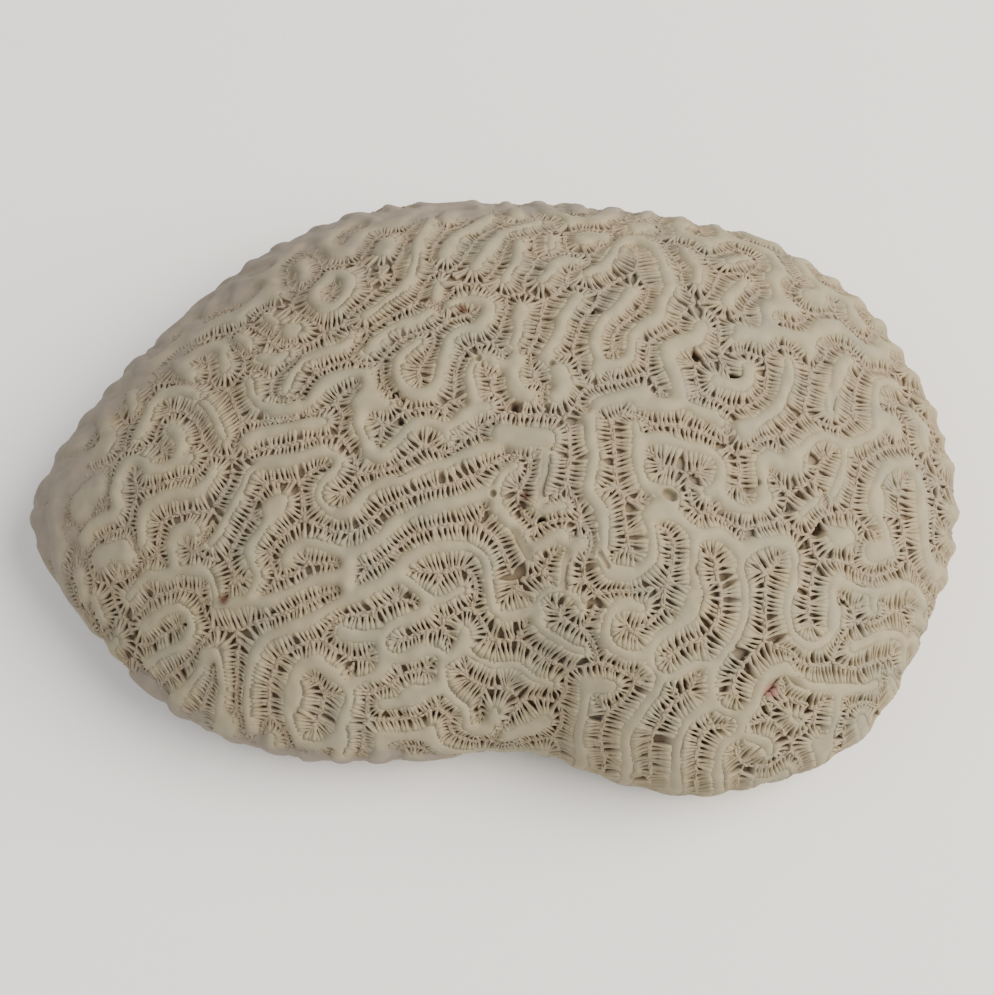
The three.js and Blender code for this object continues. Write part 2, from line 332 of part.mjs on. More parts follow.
// The point of a meridian after a walk from the top, and the way out of the surface there
function walk(cut, walked) {
  const line = cut.line;
  let i = 1;
  while (i < line.length - 1 && line[i][2] < walked) i++;
  const [a, b] = [line[i - 1], line[i]];
  const share = (walked - a[2]) / (b[2] - a[2]);
  const steep = Math.hypot(b[0] - a[0], b[1] - a[1]);
  return {
    out: a[0] + share * (b[0] - a[0]),
    up: a[1] + share * (b[1] - a[1]),
    normal: [-(b[1] - a[1]) / steep, (b[0] - a[0]) / steep],
  };
}

// The pattern is a grid over the unrolled dome: 1 on a crest, -1 along the bottom of a valley
const HALF_WIDTH = 98;
const SIDE = 2 * Math.round(HALF_WIDTH / CELL) + 1;
const cellAt = (x, y) => [(x - CENTRE[0]) / CELL + (SIDE - 1) / 2, (y - CENTRE[1]) / CELL + (SIDE - 1) / 2];

// Distance from every cell to the edge of the nearest traced ridge, negative on the ridge itself
function distanceToRidges() {
  const near = new Float64Array(SIDE * SIDE).fill(Infinity);
  for (const { width, along } of RIDGES) {
    const reach = (TRACED_REACH + width / 2) / CELL;
    for (let k = 1; k < along.length; k++) {
      const [ax, ay] = cellAt(...along[k - 1]);
      const [bx, by] = cellAt(...along[k]);
      const [dx, dy] = [bx - ax, by - ay];
      const long = dx * dx + dy * dy;
      for (let j = Math.ceil(Math.min(ay, by) - reach); j <= Math.max(ay, by) + reach; j++) {
        for (let i = Math.ceil(Math.min(ax, bx) - reach); i <= Math.max(ax, bx) + reach; i++) {
          const share = THREE.MathUtils.clamp(((i - ax) * dx + (j - ay) * dy) / long, 0, 1);
          const away = Math.hypot(i - ax - share * dx, j - ay - share * dy) * CELL - width / 2;
          if (away < near[j * SIDE + i]) near[j * SIDE + i] = away;
        }
      }
    }
  }
  return near;
}

// The pattern blurred along its rows and then along its columns
function blurred(field, spread) {
  const reach = Math.ceil((3 * spread) / CELL);
  const weights = [];
  for (let k = -reach; k <= reach; k++) weights.push(Math.exp(-0.5 * ((k * CELL) / spread) ** 2));
  const total = weights.reduce((a, b) => a + b, 0);
  const pass = (source, step) => {
    const result = new Float64Array(source.length);
    for (let n = 0; n < source.length; n++) {
      let sum = 0;
      for (let k = -reach; k <= reach; k++) {
        const m = n + k * step;
        if (m >= 0 && m < source.length) sum += weights[k + reach] * source[m];
      }
      result[n] = sum / total;
    }
    return result;
  };
  return pass(pass(field, 1), SIDE);
}

// Ridges that no line was traced for grow by themselves: each cell follows its close neighbours and
// turns from those a little further off, which settles into a maze of the same spacing.
const NEAR_SPREAD = RIDGE_SPACING / 5.72;
const FAR_SPREAD = 1.6 * NEAR_SPREAD;
const GROWTH = 9;
const SEED_STRENGTH = 0.6;
const LAST_BLUR = 0.6;
function grownPattern() {
  const edge = distanceToRidges();
  const traced = edge.map((away) => THREE.MathUtils.clamp(-away / VALLEY_SLOPE, -1, 1));
  let field = traced.map((value, n) => {
    if (edge[n] < TRACED_REACH) return value;
    const hash = Math.sin((n % SIDE) * 12.9898 + Math.floor(n / SIDE) * 78.233) * 43758.5453;
    return SEED_STRENGTH * (hash - Math.floor(hash) - 0.5);
  });
  for (let step = 0; step < GROWING_STEPS; step++) {
    const close = blurred(field, NEAR_SPREAD);
    const wide = blurred(field, FAR_SPREAD);
    field = field.map((value, n) =>
      edge[n] < TRACED_REACH ? traced[n] : Math.tanh(GROWTH * (close[n] - wide[n]) - WILD_RIDGE_SHARE));
  }
  return blurred(field, LAST_BLUR);
}
const PATTERN = grownPattern();

function patternAt(x, y) {
  const [i, j] = cellAt(x, y);
  const [i0, j0] = [Math.floor(i), Math.floor(j)];
  const [u, v] = [i - i0, j - j0];
  const at = (a, b) => PATTERN[(j0 + b) * SIDE + i0 + a];
  return (at(0, 0) * (1 - u) + at(1, 0) * u) * (1 - v) + (at(0, 1) * (1 - u) + at(1, 1) * u) * v;
}

// A corner slides uphill on a ridge and downhill in a valley, no further than SNAP
const SLIDES = 14;
const SLIDE_REACH = 1.5 * SNAP; // the slide may bend, so its path is longer than the way it gets
const LEVEL = 0.05; // a slope that counts as the crest or the bottom
function snapped(x, y) {
  const stride = SLIDE_REACH / SLIDES;
  let [px, py] = [x, y];
  for (let n = 0; n < SLIDES; n++) {
    const gx = patternAt(px + CELL, py) - patternAt(px - CELL, py);
    const gy = patternAt(px, py + CELL) - patternAt(px, py - CELL);
    const steep = Math.hypot(gx, gy);
    if (steep < LEVEL) break;
    const way = patternAt(px, py) > 0 ? stride : -stride;
    px += (gx / steep) * way;
    py += (gy / steep) * way;
  }
  const moved = Math.hypot(px - x, py - y);
  const kept = moved > SNAP ? SNAP / moved : 1;
  return [x + (px - x) * kept, y + (py - y) * kept];
}

// A corner of the surface: unrolled place in, place on the coral out
const FULL_PATTERN = 0.87; // the blurred pattern reaches this much on a crest
function corner(x, y) {
  const [dx, dy] = [x - CENTRE[0], y - CENTRE[1]];
  const direction = Math.atan2(dy, dx);
  const cut = meridian(outlineRadius(direction));
  const { out, up, normal } = walk(cut, Math.hypot(dx, dy));
  const low = 0.5 - 0.5 * THREE.MathUtils.clamp(patternAt(x, y) / FULL_PATTERN, -1, 1);
  const fresh = THREE.MathUtils.smoothstep(Math.hypot(x - WORN_TIP[0], y - WORN_TIP[1]), ...WORN_REACH);
  const left = (1 - WORN_LOSS * (1 - fresh)) * THREE.MathUtils.smoothstep(up, 0, BASE_FADE);
  const sunk = -VALLEY_DEPTH * low * left;
  const away = out + normal[0] * sunk;
  return new THREE.Vector3(
    CENTRE[0] + away * Math.cos(direction) - MIDDLE[0],
    CENTRE[1] + away * Math.sin(direction) - MIDDLE[1],
    up + normal[1] * sunk,
  );
}

// Rings of corners round the top of the dome, over the rim and down to the cut
const PROBES = 90;
const FEWEST_CORNERS = 6;
function ringCorners(share, side) {
  let round = 0;
  for (let k = 0; k < PROBES; k++) {
    round += (2 * Math.PI / PROBES) * outlineRadius((k / PROBES) * 2 * Math.PI) * share;
  }
  const count = Math.max(FEWEST_CORNERS, Math.round(round / FACET));
  const ring = [];
  for (let k = 0; k < count; k++) {
    const direction = ((k + 0.5 * ((share * DOME_RINGS) % 2)) / count) * 2 * Math.PI - Math.PI;
    const cut = meridian(outlineRadius(direction));
    const walked = share < 1 ? share * cut.rim : cut.rim + side * (cut.cut - cut.rim);
    const [x, y] = [CENTRE[0] + walked * Math.cos(direction), CENTRE[1] + walked * Math.sin(direction)];
    const [sx, sy] = side < 1 ? snapped(x, y) : [x, y];
    ring.push({ flat: [sx, sy], place: corner(sx, sy) });
  }
  return ring;
}

// Triangles between two neighbouring rings, going round both at the same pace
function stitch(inner, outer, triangles) {
  let [a, b] = [0, 0];
  while (a < inner.length || b < outer.length) {
    const nextInner = (a + 1) / inner.length;
    const nextOuter = (b + 1) / outer.length;
    const [i, o] = [inner[a % inner.length], outer[b % outer.length]];
    if (b >= outer.length || (a < inner.length && nextInner < nextOuter)) {
      triangles.push(i, o, inner[(a + 1) % inner.length]);
      a++;
    } else {
      triangles.push(i, o, outer[(b + 1) % outer.length]);
      b++;
    }
  }
}

// Twice the area of a flat triangle, positive when it runs anticlockwise
const turn = (a, b, c) => (b[0] - a[0]) * (c[1] - a[1]) - (b[1] - a[1]) * (c[0] - a[0]);

// How far the pattern bulges away from a straight edge between two corners
function bulge(a, b) {
  const middle = patternAt((a[0] + b[0]) / 2, (a[1] + b[1]) / 2);
  return Math.abs(middle - (patternAt(...a) + patternAt(...b)) / 2);
}

// Each pair of neighbouring triangles keeps the shared edge that follows the ridges best
const PASSES = 8;
const LEAST_TURN = 0.35; // keeps slivers out
const LEAST_GAIN = 0.02;
function followRidges(flats, triangles) {
  for (let pass = 0; pass < PASSES; pass++) {
    const owners = new Map();
    const key = (a, b) => (a < b ? a * 1e5 + b : b * 1e5 + a);
    for (let t = 0; t < triangles.length; t += 3) {
      for (let k = 0; k < 3; k++) {
        const edge = key(triangles[t + k], triangles[t + ((k + 1) % 3)]);
        if (!owners.has(edge)) owners.set(edge, []);
        owners.get(edge).push([t, k]);
      }
    }
    const touched = new Set();
    for (const [first, second] of owners.values()) {
      if (!second || touched.has(first[0]) || touched.has(second[0])) continue;
      const [t, k] = first;
      const [s, m] = second;
      const [a, b, c] = [triangles[t + k], triangles[t + ((k + 1) % 3)], triangles[t + ((k + 2) % 3)]];
      const d = triangles[s + ((m + 2) % 3)];
      const [fa, fb, fc, fd] = [flats[a], flats[b], flats[c], flats[d]];
      if (!fa || !fb || !fc || !fd || owners.has(key(c, d))) continue;
      if (turn(fa, fd, fc) < LEAST_TURN || turn(fd, fb, fc) < LEAST_TURN) continue;
      if (bulge(fc, fd) > bulge(fa, fb) - LEAST_GAIN) continue;
      triangles.splice(t, 3, a, d, c);
      triangles.splice(s, 3, d, b, c);
      touched.add(t).add(s);
    }
  }
}

function coralGeometry() {
  const corners = [corner(CENTRE[0], CENTRE[1])];
  const flats = [CENTRE];
  const triangles = [];
  let inner = [0];
  const addRing = (ring) => {
    const outer = ring.map(({ place, flat }) => {
      flats.push(flat);
      return corners.push(place) - 1;
    });
    stitch(inner, outer, triangles);
    inner = outer;
  };
  for (let k = 1; k <= DOME_RINGS; k++) addRing(ringCorners(k / DOME_RINGS, 0));
  for (let k = 1; k <= SIDE_RINGS; k++) addRing(ringCorners(1, k / SIDE_RINGS));
  addRing([{ place: new THREE.Vector3(CENTRE[0] - MIDDLE[0], CENTRE[1] - MIDDLE[1], 0) }]);
  followRidges(flats, triangles);
  const geometry = new THREE.BufferGeometry().setFromPoints(corners);
  geometry.setIndex(triangles);
  geometry.computeVertexNormals();
  return geometry;
}

const aragonite = new THREE.MeshStandardMaterial({ color: 0xb3a488, roughness: 0.9, metalness: 0 });
const coral = new THREE.Mesh(coralGeometry(), aragonite);
coral.name = "coral_skeleton";

const part = new THREE.Group();
part.name = "brain_coral";
part.add(coral);
export default part;
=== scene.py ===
import json
import math

import bmesh
import bpy
import numpy as np
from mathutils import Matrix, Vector
from mathutils.kdtree import KDTree

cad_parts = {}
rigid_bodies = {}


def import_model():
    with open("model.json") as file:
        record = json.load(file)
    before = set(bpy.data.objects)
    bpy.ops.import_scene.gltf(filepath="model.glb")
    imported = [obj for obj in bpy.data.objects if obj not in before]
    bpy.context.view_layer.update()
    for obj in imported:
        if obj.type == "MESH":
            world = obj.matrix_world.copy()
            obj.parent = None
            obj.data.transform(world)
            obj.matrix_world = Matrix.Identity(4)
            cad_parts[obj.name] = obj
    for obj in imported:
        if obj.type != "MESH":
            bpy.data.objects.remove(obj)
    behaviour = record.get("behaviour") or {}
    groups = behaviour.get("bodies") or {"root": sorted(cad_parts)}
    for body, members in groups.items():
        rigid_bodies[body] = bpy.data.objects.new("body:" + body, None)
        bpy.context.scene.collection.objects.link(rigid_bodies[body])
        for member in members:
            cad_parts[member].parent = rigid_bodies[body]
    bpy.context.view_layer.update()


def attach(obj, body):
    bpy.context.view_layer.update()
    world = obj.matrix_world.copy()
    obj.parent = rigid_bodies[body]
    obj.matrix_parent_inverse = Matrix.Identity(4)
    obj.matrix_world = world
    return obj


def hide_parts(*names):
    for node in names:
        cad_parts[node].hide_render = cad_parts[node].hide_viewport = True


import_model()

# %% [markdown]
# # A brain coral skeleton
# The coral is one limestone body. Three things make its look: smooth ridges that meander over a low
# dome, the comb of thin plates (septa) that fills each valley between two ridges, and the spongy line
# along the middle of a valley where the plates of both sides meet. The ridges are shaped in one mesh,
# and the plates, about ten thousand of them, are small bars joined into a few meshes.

MM = 0.001

# %% [markdown]
# ## The camera
# The coral was seen from above its front edge. The distance, the height of view and the length of the
# lens were fitted together until the outline of the dome fell on the outline in the picture, so a
# close camera with a short lens is right here: it is what makes the front look broad.

# %% Camera
def placed(name, data):
    """A new object of this data, in the scene."""
    thing = bpy.data.objects.new(name, data)
    bpy.context.scene.collection.objects.link(thing)
    return thing


IMAGE_HEIGHT = 995
VIEW_DISTANCE = 220 * MM
VIEW_ELEVATION = math.radians(68)
FOCAL_PIXELS = 1496
MIDDLE = (-0.24, 6.98)  # middle of the finished body, in the plan that the outline is drawn in
LOOK_AT = Vector((-MIDDLE[0], -MIDDLE[1], 20)) * MM


def make_camera():
    data = bpy.data.cameras.new("camera")
    data.sensor_fit = "VERTICAL"
    data.sensor_height = 36
    data.lens = FOCAL_PIXELS / IMAGE_HEIGHT * data.sensor_height
    data.clip_start = 0.01
    camera = placed("camera", data)
    back = Vector((0, -math.cos(VIEW_ELEVATION), math.sin(VIEW_ELEVATION)))
    camera.location = LOOK_AT + back * VIEW_DISTANCE
    camera.rotation_euler = (math.pi / 2 - VIEW_ELEVATION, 0, 0)
    bpy.context.scene.camera = camera
    return camera


camera = make_camera()
print("camera at", [round(c / MM, 1) for c in camera.location], "mm, lens", round(camera.data.lens, 1))

# %% [markdown]
# ## Floor and light
# The specimen lay on a white ground in even light, a little stronger from the right.
# Large area lights far away give that: soft shadows between the plates, none with a hard edge.

# %% Colour helper, floor and lights
def linear(hex_colour):
    """An sRGB hex colour as the linear values that shaders and lights take."""
    parts = [int(hex_colour[i:i + 2], 16) / 255 for i in (1, 3, 5)]
    return tuple(c / 12.92 if c <= 0.04045 else ((c + 0.055) / 1.055) ** 2.4 for c in parts) + (1.0,)


def mesh_of(name, shape):
    """The finished shape as a mesh."""
    mesh = bpy.data.meshes.new(name)
    shape.to_mesh(mesh)
    shape.free()
    return mesh


def make_floor(half_side=2.0):
    shape = bmesh.new()
    bmesh.ops.create_grid(shape, x_segments=1, y_segments=1, size=half_side)
    mesh = mesh_of("floor", shape)
    floor = placed("floor", mesh)
    # Uncoated paper is matt and nearly white, so the eye sees only the coral's soft shadow on it
    paper = bpy.data.materials.new("matt white paper")
    paper.use_nodes = True
    shader = paper.node_tree.nodes["Principled BSDF"]
    shader.inputs["Base Color"].default_value = linear("#f4f3f1")
    shader.inputs["Roughness"].default_value = 0.9
    mesh.materials.append(paper)
    return floor


def area_light(name, place, size, watts, colour):
    data = bpy.data.lights.new(name, "AREA")
    data.shape = "DISK"
    data.size = size
    data.energy = watts
    data.color = linear(colour)[:3]
    light = placed(name, data)
    light.location = place
    light.rotation_euler = (-Vector(place)).to_track_quat("-Z", "Y").to_euler()
    return light


floor = make_floor()
area_light("window at the right", (0.95, 0.0, 0.85), 1.3, 39.0, "#fff6ea")
area_light("sky at the left", (-0.8, -0.1, 1.0), 1.0, 4.0, "#f3f5ff")
world = bpy.data.worlds.new("pale room")
world.use_nodes = True
world.node_tree.nodes["Background"].inputs["Color"].default_value = linear("#f3f2f0")
world.node_tree.nodes["Background"].inputs["Strength"].default_value = 0.65
bpy.context.scene.world = world
print("floor and", len(bpy.data.lights), "lights")

# %% [markdown]
# ## The dome
# Every meridian of the dome, from the top over the rim and down the tucked-in side to the flat cut,
# is worked out from the same few sizes as the CAD solid. The drawing of the ridges is laid on it
# unrolled: a point's place on the drawing is its direction from the top and the way walked to it
# along the surface, so a ridge is as wide on the drawing as it is on the coral.

# %% Sizes of the dome, in millimetres
RIM_HEIGHT = 12
DOME_RISE = 26
DOME_POWER = 2
EDGE_POWER = 0.7
SIDE_TUCK = 7
SIDE_ROUNDNESS = 0.98
CENTRE = np.array((0.0, 5.0))
OUTLINE = [
    (-71, 0), (-67, -9), (-59.5, -18.5), (-48.5, -29), (-38, -34.5), (-26, -37), (-12, -37), (-1, -35.7),
    (7, -36.2), (16, -39.6), (28, -42), (39, -40.2), (48, -37), (55.5, -31), (62, -21), (67.5, -10),
    (70.5, 1), (70, 12), (66.5, 24), (59, 37), (46, 47.5), (29, 53), (11, 55.2), (-7, 55.5),
    (-22, 54), (-37, 47), (-50, 35), (-61, 22), (-68.5, 9.5),
]


def outline_table(steps_between=50):
    """Directions and radii of a smooth closed curve through the outline's points."""
    points = np.array(OUTLINE, float) - CENTRE
    t = np.linspace(0, 1, steps_between, endpoint=False)[:, None]
    spans = []
    for k in range(len(points)):
        a, b, c, d = (points[(k + n) % len(points)] for n in (-1, 0, 1, 2))
        spans.append(0.5 * (2 * b + (c - a) * t + (2 * a - 5 * b + 4 * c - d) * t**2
                            + (3 * b - a - 3 * c + d) * t**3))
    curve = np.concatenate(spans)
    direction = np.arctan2(curve[:, 1], curve[:, 0])
    order = np.argsort(direction)
    return direction[order], np.hypot(curve[:, 0], curve[:, 1])[order]


OUTLINE_DIRECTIONS, OUTLINE_RADII = outline_table()


def outline_radius(direction):
    return np.interp(direction, OUTLINE_DIRECTIONS, OUTLINE_RADII, period=2 * math.pi)


print("outline radii from", OUTLINE_RADII.min().round(1), "to", OUTLINE_RADII.max().round(1), "mm")

# %% The meridians as a table over the outline radius and the share of the walk to the cut
TABLE_RADII = np.linspace(OUTLINE_RADII.min() - 0.5, OUTLINE_RADII.max() + 0.5, 120)
TABLE_STEPS = 400


def meridian_row(radius):
    """Out, up and the normal at even steps of the walk, and the walk's length to the cut."""
    out = np.sin(np.linspace(0, math.pi / 2, 61))
    down = np.linspace(0, 1, 21)[1:]
    x = np.concatenate([out * radius, radius - SIDE_TUCK * (1 - np.sqrt(1 - SIDE_ROUNDNESS * down**2))])
    dome = RIM_HEIGHT + DOME_RISE * (1 - out**DOME_POWER) ** EDGE_POWER
    z = np.concatenate([dome, RIM_HEIGHT * (1 - down)])
    walked = np.concatenate([[0], np.cumsum(np.hypot(np.diff(x), np.diff(z)))])
    even = np.linspace(0, walked[-1], TABLE_STEPS)
    x, z = np.interp(even, walked, x), np.interp(even, walked, z)
    dx, dz = np.gradient(x), np.gradient(z)
    steep = np.hypot(dx, dz)
    return np.stack([x, z, -dz / steep, dx / steep]), walked[-1]


MERIDIANS, WALKS = (np.array(part, float) for part in zip(*map(meridian_row, TABLE_RADII)))


def walk_to_cut(direction):
    return np.interp(outline_radius(direction), TABLE_RADII, WALKS)


def onto_dome(flat, height):
    """Unrolled places and heights above the dome, in mm, as places on the coral and their level."""
    away = flat - CENTRE
    direction = np.arctan2(away[:, 1], away[:, 0])
    walked = np.hypot(away[:, 0], away[:, 1])
    row = (outline_radius(direction) - TABLE_RADII[0]) / (TABLE_RADII[1] - TABLE_RADII[0])
    share = np.clip(walked / walk_to_cut(direction), 0, 1) * (TABLE_STEPS - 1)
    r0 = np.clip(row.astype(int), 0, len(TABLE_RADII) - 2)
    c0 = np.clip(share.astype(int), 0, TABLE_STEPS - 2)
    u, v = row - r0, share - c0
    near = MERIDIANS[r0, :, c0] * (1 - v)[:, None] + MERIDIANS[r0, :, c0 + 1] * v[:, None]
    far = MERIDIANS[r0 + 1, :, c0] * (1 - v)[:, None] + MERIDIANS[r0 + 1, :, c0 + 1] * v[:, None]
    out, up, normal_out, normal_up = (near * (1 - u)[:, None] + far * u[:, None]).T
    reach = out + normal_out * height
    place = np.stack([
        CENTRE[0] + reach * np.cos(direction) - MIDDLE[0],
        CENTRE[1] + reach * np.sin(direction) - MIDDLE[1],
        np.maximum(up + normal_up * height, 0),
    ], axis=1)
    return place, up


print("walk from the top to the cut:", WALKS.min().round(1), "to", WALKS.max().round(1), "mm")
